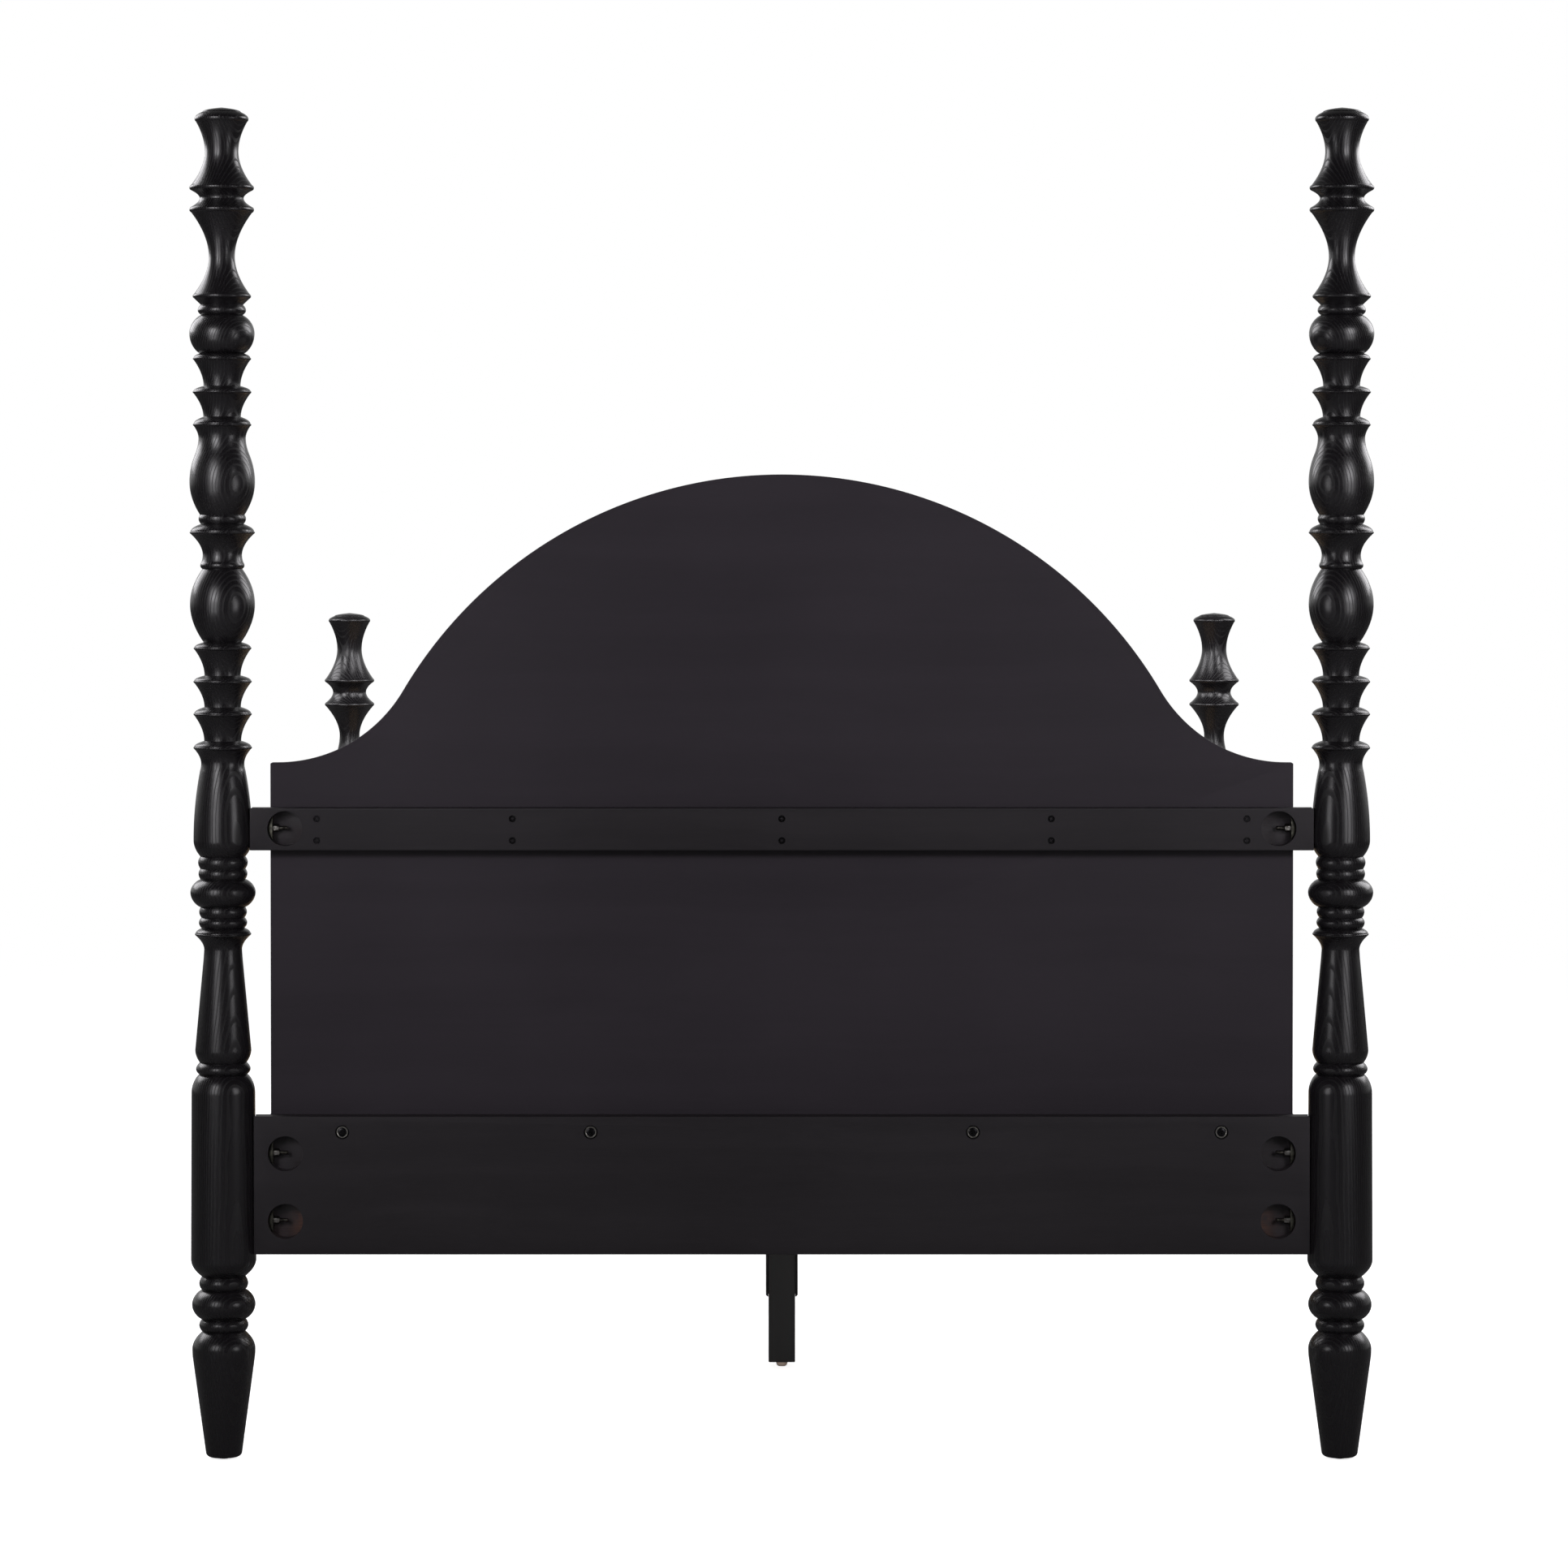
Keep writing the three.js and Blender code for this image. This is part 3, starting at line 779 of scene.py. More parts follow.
@dataclass(frozen=True)
class TurnedAsh:
    """Open-grained ash, turned, stained black and finished satin.

    The growth rings are a solid pattern, so that they close into eyes on the swellings of a turning.
    """

    post_x: float
    post_y: float
    ring: float = 4.1 * MM
    heart: tuple[float, float] = (0.094, 0.160)
    lean: float = 0.010
    bow: float = 0.11
    early: Colour = (0.0027, 0.0023, 0.0028)
    late: Colour = (0.0060, 0.0052, 0.0062)
    pore: Colour = (0.0015, 0.0013, 0.0015)

    def build(self) -> Material:
        """Makes the material.

        Returns:
            The material.
        """
        s = Shader("turned_ash")
        x, y, z = s.parts(s.place)
        # Each post reads its log about its own axis: left and right mirror each other, and head and
        # foot posts come from opposite sides of the log's heart.
        end = s.math("SIGN", y)
        across = s.minus(s.math("ABSOLUTE", x), self.post_x)
        along = s.minus(s.times(end, self.post_y), y)
        own = s.whole(across, along, z)
        sway = s.noise(s.stretched(own, (12.0, 12.0, 4.5)), 1.0, 1.5)
        wander = s.times(s.minus(sway, 0.5), 15 * MM)
        lean = s.times(z, self.lean)
        bow = s.window(z, 1.38, 1.68, 0.0, self.bow)
        aside = s.times(end, s.plus(bow, self.heart[0]))
        from_heart_x = s.plus(s.minus(across, aside), lean)
        from_heart_y = s.minus(along, self.heart[1])
        square = s.times(from_heart_x, from_heart_x)
        distance = s.math("SQRT", s.math("MULTIPLY_ADD", from_heart_y, from_heart_y, square))
        rings = s.math("DIVIDE", s.plus(distance, wander), self.ring)
        phase = s.math("FRACT", rings)
        year = s.math("FLOOR", rings)
        vigour = s.noise(s.whole(year, 0.0, 0.0), 0.37, 0.0)
        # Each year starts with a band of open pores, which ends softly in dense late wood.
        start = s.window(phase, 0.0, 0.10)
        fade = s.window(phase, 0.14, 0.42, 1.0, 0.0)
        early = s.times(start, fade)
        early = s.times(early, s.window(vigour, 0.3, 0.65, 0.6, 1.0))
        pores = s.noise(s.stretched(own, (1300.0, 1300.0, 45.0)), 1.0, 1.0)
        pore = s.times(s.window(pores, 0.52, 0.66), early)
        fibre = s.noise(s.stretched(own, (520.0, 520.0, 8.0)), 1.0, 2.0)
        patch = s.noise(own, 5.0, 2.0)

        tone = s.math("MULTIPLY_ADD", early, 0.62, s.window(fibre, 0.35, 0.75, 0.0, 0.2))
        colour = s.blend(tone, self.late, self.early)
        colour = s.blend(s.times(pore, 0.8), colour, self.pore)

        rough = s.math("MULTIPLY_ADD", early, 0.34, 0.27)
        rough = s.vary(rough, fibre, 0.06)
        rough = s.vary(rough, patch, 0.10)
        groove = s.minus(1.0, s.times(early, 0.8))
        groove = s.minus(groove, s.times(pore, 0.2))
        normal = s.bump(groove, 0.10 * MM, 0.42)
        normal = s.bump(fibre, 0.02 * MM, 0.24, normal)
        return s.set(Base_Color=colour, Roughness=rough, Normal=normal, IOR=1.5)


class Grain(Enum):
    """The direction that a board's grain runs in."""

    ACROSS_BED = (1.0, 30.0, 30.0)
    ALONG_BED = (30.0, 1.0, 30.0)
    UPRIGHT = (30.0, 30.0, 1.0)


@dataclass(frozen=True)
class StainedBoard:
    """A planed board with an even satin stain that lets a little of the grain through."""

    name: str
    dark: Colour
    light: Colour
    grain: Grain
    roughness: float = 0.55
    figure: float = 0.5
    gloss: float = 0.22

    def build(self) -> Material:
        """Makes the material.

        Returns:
            The material.
        """
        s = Shader(self.name)
        fine = tuple(14.0 * share for share in self.grain.value)
        broad = tuple(0.55 * share for share in self.grain.value)
        bend = s.noise(s.place, 3.0, 2.0)
        swayed = s.vector("ADD", s.place, s.vector("MULTIPLY", s.whole(bend, bend, bend), (0.05, 0.05, 0.05)))
        fibre = s.noise(s.stretched(swayed, fine), 1.0, 4.0, 0.65)
        band = s.noise(s.stretched(swayed, broad), 1.0, 3.0, 0.55)
        patch = s.noise(s.place, 2.6, 3.0)
        speck = s.noise(s.place, 900.0, 1.0)
        tone = s.times(s.window(band, 0.35, 0.65), self.figure)
        tone = s.plus(tone, s.window(fibre, 0.35, 0.7, 0.0, 0.5 * self.figure))
        tone = s.plus(tone, s.window(patch, 0.35, 0.65, 0.0, 0.35))
        colour = s.blend(tone, self.dark, self.light)
        rough = s.vary(self.roughness, band, 0.14)
        rough = s.vary(rough, fibre, 0.12)
        normal = s.bump(fibre, 0.035 * MM, 0.6)
        normal = s.bump(speck, 0.012 * MM, 0.5, normal)
        s.set(Base_Color=colour, Roughness=rough, Normal=normal)
        return s.set(IOR=1.46, Specular_IOR_Level=self.gloss)


@dataclass(frozen=True)
class PocketTimber:
    """The inside of a bored pocket, where the stain has only half covered the red-brown wood."""

    pocket_x: float
    stained: Colour = (0.0150, 0.0126, 0.0150)
    bare: Colour = (0.070, 0.034, 0.025)
    shadow: Colour = (0.006, 0.005, 0.005)

    def build(self) -> Material:
        """Makes the material.

        Returns:
            The material.
        """
        s = Shader("pocket_timber")
        x, y, z = s.parts(s.place)
        patch = s.noise(s.place, 42.0, 3.0, 0.6)
        fibre = s.noise(s.stretched(s.place, (30.0, 900.0, 900.0)), 1.0, 3.0)
        low_down = s.window(z, 0.335, 0.375, 1.0, 0.05)
        from_middle = s.minus(s.math("ABSOLUTE", x), self.pocket_x)
        inward = s.window(from_middle, -22 * MM, 2 * MM, 1.0, 0.12)
        bare = s.times(s.window(patch, 0.30, 0.60), s.times(low_down, inward))
        colour = s.blend(bare, self.stained, self.bare)
        colour = s.blend(s.window(fibre, 0.4, 0.7, 0.0, 0.5), colour, self.shadow)
        rough = s.window(patch, 0.3, 0.7, 0.5, 0.75)
        cutter = s.math("SINE", s.times(y, 9000.0))
        normal = s.bump(cutter, 0.02 * MM, 0.4)
        normal = s.bump(fibre, 0.08 * MM, 0.6, normal)
        return s.set(Base_Color=colour, Roughness=rough, Normal=normal)


@dataclass(frozen=True)
class Pine:
    """Planed pine boards, each with its own tone and grain."""

    pitch: float
    first_y: float
    seat: float = 0.355
    spring: Colour = (0.50, 0.36, 0.215)
    summer: Colour = (0.34, 0.20, 0.105)
    pale: Colour = (0.60, 0.47, 0.31)
    knot: Colour = (0.13, 0.055, 0.025)

    def build(self) -> Material:
        """Makes the material.

        Returns:
            The material.
        """
        s = Shader("pine")
        x, y, z = s.parts(s.place)
        number = s.math("ROUND", s.math("DIVIDE", s.minus(y, self.first_y), self.pitch))
        middle = s.math("MULTIPLY_ADD", number, self.pitch, self.first_y)
        across = s.minus(y, middle)
        chance = s.node("ShaderNodeTexWhiteNoise", noise_dimensions="1D", W=number).outputs["Value"]
        shift = s.times(chance, 37.0)
        own = s.whole(s.plus(x, shift), across, z)
        sway = s.noise(s.stretched(own, (1.6, 9.0, 9.0)), 1.0, 3.0)
        depth = s.math("MULTIPLY_ADD", chance, 0.10, 0.03)
        side = s.plus(across, s.times(s.minus(sway, 0.5), 0.055))
        lift = s.plus(s.plus(z, depth), -self.seat)
        squares = s.math("MULTIPLY_ADD", side, side, s.times(lift, lift))
        rings = s.times(s.math("SQRT", squares), 330.0)
        phase = s.math("FRACT", rings)
        summer = s.times(s.window(phase, 0.35, 0.85), s.window(phase, 0.9, 1.0, 1.0, 0.0))
        fibre = s.noise(s.stretched(own, (14.0, 700.0, 700.0)), 1.0, 3.0, 0.6)
        spot = s.node("ShaderNodeTexVoronoi", Vector=s.stretched(own, (2.1, 6.0, 1.0)), Scale=1.0)
        knot = s.window(spot.outputs["Distance"], 0.03, 0.06, 1.0, 0.0)
        colour = s.blend(s.times(summer, 0.62), self.spring, self.summer)
        colour = s.blend(s.window(fibre, 0.35, 0.8, 0.0, 0.3), colour, self.summer)
        colour = s.blend(s.times(chance, 0.22), colour, self.pale)
        colour = s.blend(s.times(knot, 0.85), colour, self.knot)
        rough = s.math("MULTIPLY_ADD", fibre, 0.2, 0.5)
        normal = s.bump(summer, 0.05 * MM, 0.6)
        normal = s.bump(fibre, 0.08 * MM, 0.7, normal)
        return s.set(Base_Color=colour, Roughness=rough, Normal=normal)


@dataclass(frozen=True)
class PlatedSteel:
    """Bright plated hardware with fine scratches and a little dullness."""

    name: str
    bright: Colour
    dull: Colour
    roughness: float = 0.3

    def build(self) -> Material:
        """Makes the material.

        Returns:
            The material.
        """
        s = Shader(self.name)
        cloud = s.noise(s.place, 260.0, 4.0, 0.6)
        scratch = s.noise(s.stretched(s.place, (4000.0, 600.0, 300.0)), 1.0, 2.0)
        colour = s.blend(s.window(cloud, 0.35, 0.7), self.bright, self.dull)
        rough = s.vary(self.roughness, cloud, 0.35)
        rough = s.vary(rough, scratch, 0.15)
        normal = s.bump(scratch, 0.01 * MM, 0.4)
        return s.set(Base_Color=colour, Roughness=rough, Normal=normal, Metallic=1.0)


@dataclass(frozen=True)
class PowderCoat:
    """Black powder coat over steel: an even orange-peel skin."""

    dark: Colour = (0.008, 0.008, 0.009)
    dusty: Colour = (0.020, 0.020, 0.021)

    def build(self) -> Material:
        """Makes the material.

        Returns:
            The material.
        """
        s = Shader("black_steel")
        peel = s.noise(s.place, 1100.0, 2.0)
        dust = s.noise(s.place, 22.0, 4.0, 0.6)
        colour = s.blend(s.window(dust, 0.4, 0.75), self.dark, self.dusty)
        rough = s.window(dust, 0.3, 0.7, 0.34, 0.5)
        return s.set(Base_Color=colour, Roughness=rough, Normal=s.bump(peel, 0.03 * MM, 0.5))


@dataclass(frozen=True)
class MouldedNylon:
    """Tan nylon with a fine moulded skin and scuffs low down."""

    clean: Colour = (0.62, 0.47, 0.38)
    scuffed: Colour = (0.44, 0.33, 0.27)

    def build(self) -> Material:
        """Makes the material.

        Returns:
            The material.
        """
        s = Shader("tan_plastic")
        _, _, z = s.parts(s.place)
        skin = s.noise(s.place, 2500.0, 2.0)
        scuff = s.noise(s.place, 500.0, 4.0, 0.7)
        low = s.window(z, 0.0, 4 * MM, 1.0, 0.15)
        share = s.times(s.window(scuff, 0.4, 0.65), low)
        colour = s.blend(share, self.clean, self.scuffed)
        rough = s.window(scuff, 0.3, 0.7, 0.38, 0.6)
        return s.set(Base_Color=colour, Roughness=rough, Normal=s.bump(skin, 0.02 * MM, 0.5))


@dataclass(frozen=True)
class StudioFloor:
    """A plain pale floor that runs into the pale surround, so that no horizon shows."""

    seen: Colour = (0.86, 0.86, 0.86)
    reflected: Colour = (0.24, 0.24, 0.24)
    lift: float = 0.85
    fade_start: float = 3.2
    fade_end: float = 8.0

    def build(self) -> Material:
        """Makes the material.

        Returns:
            The material.
        """
        s = Shader("studio_floor")
        camera_ray = s.node("ShaderNodeLightPath").outputs["Is Camera Ray"]
        s.set(Base_Color=s.blend(camera_ray, self.reflected, self.seen), Roughness=0.8)
        s.set(Specular_IOR_Level=0.0, Emission_Color=(1.0, 1.0, 1.0))
        s.set(Emission_Strength=s.times(camera_ray, self.lift))
        brightness = s.math("MULTIPLY_ADD", camera_ray, 0.95, 0.05)
        glow = s.node("ShaderNodeEmission", (1.0, 1.0, 1.0), Strength=brightness).outputs[0]
        x, y, _ = s.parts(s.place)
        distance = s.math("SQRT", s.math("MULTIPLY_ADD", x, x, s.times(y, y)))
        faded = s.window(distance, self.fade_start, self.fade_end)
        mix = s.node("ShaderNodeMixShader", faded, s.shader.outputs[0], glow)
        s.feed(s.tree.nodes["Material Output"].inputs["Surface"], mix.outputs[0])
        return s.material


@dataclass(frozen=True)
class Finishes:
    """Every material of the bed."""

    ash: Material
    panel: Material
    rail: Material
    side_rail: Material
    leg: Material
    pocket: Material
    pine: Material
    zinc: Material
    rod_zinc: Material
    washer: Material
    black_screw: Material
    nickel: Material
    black_steel: Material
    nylon: Material

    @classmethod
    def make(cls, post_x: float, post_y: float, slat_pitch: float, slat_first: float) -> "Finishes":
        """Makes them all.

        Args:
            post_x: how far each post's axis is from the middle, across the bed.
            post_y: the same, along the bed.
            slat_pitch: the distance from each slat to the next.
            slat_first: where the first slat's middle is along the bed.

        Returns:
            The finishes.
        """
        def plated(name: str, bright: Colour, dull: Colour, roughness: float) -> Material:
            """Makes one plated steel."""
            return PlatedSteel(name, bright, dull, roughness).build()

        black, soft_black = (0.0124, 0.0110, 0.0124), (0.0196, 0.0176, 0.0196)
        dull = {"roughness": 0.6, "gloss": 0.2}
        panel, soft_panel = (0.0178, 0.0150, 0.0186), (0.0252, 0.0213, 0.0262)
        # The leg's black is lighter and greyer than the rails'. Part of that is the leg's own grey paint, and
        # part is painted light for the low front light that the lower rail keeps off it.
        leg, soft_leg = (0.0225, 0.0225, 0.0225), (0.0290, 0.0290, 0.0290)
        return cls(
            ash=TurnedAsh(post_x, post_y).build(),
            panel=StainedBoard(
                "panel_black", panel, soft_panel, Grain.ACROSS_BED, figure=0.35, **dull
            ).build(),
            rail=StainedBoard("rail_black", black, soft_black, Grain.ACROSS_BED).build(),
            side_rail=StainedBoard("side_rail_black", black, soft_black, Grain.ALONG_BED).build(),
            leg=StainedBoard("leg_black", leg, soft_leg, Grain.UPRIGHT, figure=0.3, **dull).build(),
            pocket=PocketTimber(post_x - POCKET_FROM_AXIS).build(),
            pine=Pine(slat_pitch, slat_first).build(),
            zinc=plated("zinc_steel", (0.52, 0.50, 0.46), (0.24, 0.23, 0.21), 0.34),
            rod_zinc=plated("rod_zinc", (0.30, 0.29, 0.27), (0.09, 0.085, 0.08), 0.36),
            washer=plated("washer_zinc", (0.100, 0.098, 0.080), (0.035, 0.034, 0.029), 0.42),
            black_screw=plated("black_screw", (0.034, 0.033, 0.035), (0.012, 0.012, 0.013), 0.30),
            nickel=plated("nickel_steel", (0.60, 0.57, 0.52), (0.42, 0.40, 0.37), 0.24),
            black_steel=PowderCoat().build(),
            nylon=MouldedNylon().build(),
        )


# ---- Turned posts ----


class Curve(Enum):
    """How a turning's outline runs from its thin end to its thick end."""

    STRAIGHT = 1
    SWELLING = 2
    HOLLOW = 3
    ROUNDED = 4

    def point(self, s: float) -> tuple[float, float]:
        """Gives a point of the curve.

        Args:
            s: how far along it is, from 0 at the thin end to 1 at the thick end.

        Returns:
            How far along and how far out it is, each from 0 to 1.
        """
        if self is Curve.SWELLING:
            return s, 1 - (1 - s) ** 2
        if self is Curve.HOLLOW:
            return s, s**1.9
        if self is Curve.ROUNDED:
            return 1 - math.cos(s * math.pi / 2), math.sin(s * math.pi / 2) ** 1.5
        return s, s


@dataclass(frozen=True)
class Step:
    """One length of a turning: where it ends, in millimetres, and the curve that leads there."""

    z: float
    r: float
    curve: Curve = Curve.STRAIGHT


def vase(peak_z: float, peak_r: float, end_z: float, end_r: float) -> list[Step]:
    """Gives a long swelling up to its widest place and on to its end."""
    return [Step(peak_z, peak_r, Curve.SWELLING), Step(end_z, end_r, Curve.SWELLING)]


def ball(peak_z: float, peak_r: float, end_z: float, end_r: float) -> list[Step]:
    """Gives a full round swelling."""
    return [Step(peak_z, peak_r, Curve.ROUNDED), Step(end_z, end_r, Curve.ROUNDED)]


def rim(low_z: float, low_r: float, tip_z: float, tip_r: float, high_z: float, high_r: float) -> list[Step]:
    """Gives a flare out of a hollow, and the rounded rim that it ends in.

    Args:
        low_z: the height at which the flare becomes the rim.
        low_r: the radius there.
        tip_z: the height of the rim's widest place.
        tip_r: the radius there.
        high_z: the height at which the rim ends.
        high_r: the radius there.

    Returns:
        Its steps.
    """
    return [
        Step(low_z, low_r, Curve.HOLLOW),
        Step(tip_z, tip_r, Curve.ROUNDED),
        Step(high_z, high_r, Curve.ROUNDED),
    ]


def disc(tip_z: float, tip_r: float, end_z: float, end_r: float) -> list[Step]:
    """Gives a disc that flares out of a hollow below it and drops steeply above its rounded rim.

    Args:
        tip_z: the height of its widest place.
        tip_r: its radius there.
        end_z: where it ends.
        end_r: the radius there.

    Returns:
        Its steps.
    """
    edge = 2.4
    low, high = (tip_z - edge, tip_r - 0.62 * edge), (tip_z + 0.45 * edge, tip_r - 0.5 * edge)
    return [*rim(*low, tip_z, tip_r, *high), Step(end_z, end_r, Curve.SWELLING)]


@dataclass(frozen=True)
class Turning:
    """A turned post's outline, from its foot to its top, in millimetres."""

    base: float
    steps: tuple[Step, ...]
    fine: float = 1.5
    start_radius: float = 0.4
    least_rise: float = 0.02

    def stations(self) -> list[tuple[float, float]]:
        """Works out the outline.

        Returns:
            (height, radius) pairs in metres, with the heights always rising.
        """
        found = [(self.base, self.start_radius)]
        from_z, from_r = found[0]
        for step in self.steps:
            length = math.hypot(step.z - from_z, step.r - from_r)
            cuts = 1 if step.curve is Curve.STRAIGHT else max(4, math.ceil(length / self.fine))
            rising = step.r >= from_r
            for i in range(1, cuts + 1):
                along, out = step.curve.point(i / cuts if rising else 1 - i / cuts)
                if rising:
                    z, r = from_z + (step.z - from_z) * along, from_r + (step.r - from_r) * out
                else:
                    z, r = step.z + (from_z - step.z) * along, step.r + (from_r - step.r) * out
                found.append((max(z, found[-1][0] + self.least_rise), r))
            from_z, from_r = step.z, step.r
        return [(z * MM, r * MM) for z, r in found]


@dataclass
class TurnedPosts:
    """The four turned posts and the steel glides under them, in millimetres."""

    finishes: Finishes
    lathe: Lathe
    placer: Placer
    sides: int = 64
    base: float = 3.0
    barrel_radius: float = 46.4
    glide_radius: float = 11.0

    def shared_turning(self) -> tuple[Step, ...]:
        """Gives the lower lengths, which head and foot posts share.

        Returns:
            Their steps.
        """
        return (
            Step(self.base + 0.05, 20.5),
            Step(8.5, 25.7, Curve.ROUNDED),
            Step(146, 44.3),
            *vase(157, 44.8, 182, 30.4),
            *vase(191.0, 34.9, 199.8, 30.7),
            *ball(220.4, 45, 241.3, 30.7),
            *vase(250.5, 34.8, 260.5, 30.7),
            Step(285, self.barrel_radius, Curve.SWELLING),
            Step(522, self.barrel_radius - 1.2),
            Step(549, 33.8, Curve.ROUNDED),
            *vase(556.5, 38.7, 566, 33.3),
            Step(584, 39.8, Curve.SWELLING),
            Step(715, 27.6),
            Step(727, 26.8),
            *disc(749.4, 40, 757.5, 30.4),
            *vase(765.6, 34.2, 772.6, 30.6),
            *vase(780.7, 33.8, 787.6, 31.6),
            *ball(808.5, 46.2, 827, 31.8),
            *vase(835.2, 34.6, 842.2, 32),
            *vase(851.4, 35.2, 859.6, 31.9),
        )

    def head_turning(self) -> Turning:
        """Gives the head posts' outline.

        Returns:
            The outline.
        """
        upper = (
            *vase(882.8, 41.6, 982, 32.2),
            Step(992, 30.6, Curve.HOLLOW),
            *disc(1015, 41.6, 1024.3, 26.2),
            *disc(1062.6, 41.4, 1072.4, 25.8),
            *disc(1109, 41.4, 1117.4, 25.6),
            *disc(1156.5, 41.0, 1164.8, 26.8),
            *vase(1219.2, 46, 1269, 28.4),
            *vase(1273.8, 31.4, 1278.6, 29.6),
            Step(1289, 27.8, Curve.HOLLOW),
            *disc(1321.2, 46.2, 1333, 30.4),
            *vase(1340.6, 33.6, 1346, 31.6),
            *vase(1393, 46.4, 1432, 38.5),
            Step(1455, 33.5, Curve.HOLLOW),
            *disc(1474.4, 41.4, 1485.4, 26.6),
            *disc(1520.8, 41.6, 1529.2, 26.2),
            *disc(1568.2, 41.3, 1575.6, 31.4),
            *ball(1603.6, 46.2, 1629.8, 29.3),
            *vase(1636.6, 34.2, 1644.6, 30),
            Step(1653.6, 39.4),
            Step(1656.6, 41.4, Curve.ROUNDED),
            Step(1659.6, 39.6, Curve.ROUNDED),
            Step(1713, 18.4, Curve.HOLLOW),
            *rim(1775.6, 43.2, 1779.4, 45.9, 1783, 43.8),
            Step(1795.8, 31.2, Curve.HOLLOW),
            *rim(1807.2, 43.6, 1810.8, 45.9, 1814.2, 43.4),
            Step(1862, 23.8, Curve.HOLLOW),
            Step(1904.6, 36.4, Curve.HOLLOW),
            Step(1908.4, 38.3, Curve.ROUNDED),
            Step(1918, 27.5, Curve.SWELLING),
            Step(1924.6, 0.4, Curve.SWELLING),
        )
        return Turning(self.base, self.shared_turning() + upper)

    def foot_turning(self) -> Turning:
        """Gives the foot posts' outline.

        Returns:
            The outline.
        """
        upper = (
            Step(870.6, 39.8),
            Step(873, 41.3, Curve.ROUNDED),
            Step(875.6, 40.0, Curve.ROUNDED),
            Step(942, 18.2, Curve.HOLLOW),
            *rim(996, 43.6, 999, 45.4, 1002, 43.8),
            Step(1021.5, 30.3, Curve.HOLLOW),
            *rim(1040, 43.8, 1043, 45.5, 1046, 43.6),
            Step(1101, 22.4, Curve.HOLLOW),
            Step(1150.2, 36.8, Curve.HOLLOW),
            Step(1153.5, 38.2, Curve.ROUNDED),
            Step(1161.5, 27.5, Curve.SWELLING),
            Step(1167, 0.4, Curve.SWELLING),
        )
        return Turning(self.base, self.shared_turning() + upper)

    def build(self) -> None:
        """Makes the posts and their glides."""
        turnings = {"head": self.head_turning(), "foot": self.foot_turning()}
        places = []
        for end, turning in turnings.items():
            turned = self.lathe.turn(turning.stations(), self.sides, self.finishes.ash)
            for side in SIDES:
                node = f"{end}_post_{side}"
                low, high = corners(node)
                middle = (low + high) / 2
                mesh = moved(turned, Matrix.Translation((middle.x, middle.y, 0.0)))
                add_piece(f"turned_{node}", mesh, self.finishes.ash, [node], sharp_over=50.0)
                places.append((middle.x, middle.y, 0.0))
        self.build_glides(places)

    def build_glides(self, places: Points) -> None:
        """Makes a domed nail glide under each post.

        Args:
            places: the point on the floor under each post's axis.
        """
        r, top = self.glide_radius * MM, self.base * MM - GAP
        dome = [(0.0, 0.5 * r), (0.0003, 0.72 * r), (0.0010, 0.9 * r), (0.0018, r), (top, r)]
        glide = eased(turned_mesh(dome, 32), 0.1 * MM)
        mesh = self.placer.place(glide, places, [(0.0, 0.0, 0.0)] * len(places), self.finishes.nickel)
        nodes = [f"post_glide_{end}_{side}" for end in ENDS for side in SIDES]
        add_piece("post_glides", mesh, None, nodes)


# ---- Hardware ----


@dataclass(frozen=True)
class Rod:
    """Where one threaded rod goes: it runs from a post's axis into a rail."""

    kind: str
    name: str
    axis: Vector
    turn: float
    opening: int

    def frame(self) -> Matrix:
        """Gives the matrix that lays +X from the post's axis along the rod."""
        return Matrix.Translation(self.axis) @ Matrix.Rotation(self.turn, 4, "Z")

    def point(self, along: float, across: float = 0.0, up: float = 0.0) -> Vector:
        """Gives a point in the rod's own directions."""
        return self.frame() @ Vector((along, across, up))


class ScrewKind(Enum):
    """The wood screws: head radius, depth of the countersunk cone and height of the dome, in millimetres."""

    RAIL = (4.6, 2.6, 0.0)
    SLAT = (3.9, 2.4, 0.0)
    FITTING = (3.6, 2.2, 1.4)


def cross_recess(reach: float, arm: float, bottom: float, top: float) -> list[Mesh]:
    """Makes the cutters for the cross recess of a screw that faces +Z.

    Args:
        reach: how far each arm reaches from the middle.
        arm: half an arm's width.
        bottom: the recess's floor.
        top: where the cutters end, above the head.

    Returns:
        The cutters.
    """
    sizes = ((reach, arm), (arm, reach))
    return [box_mesh((-x, -y, bottom), (x, y, top)) for x, y in sizes]


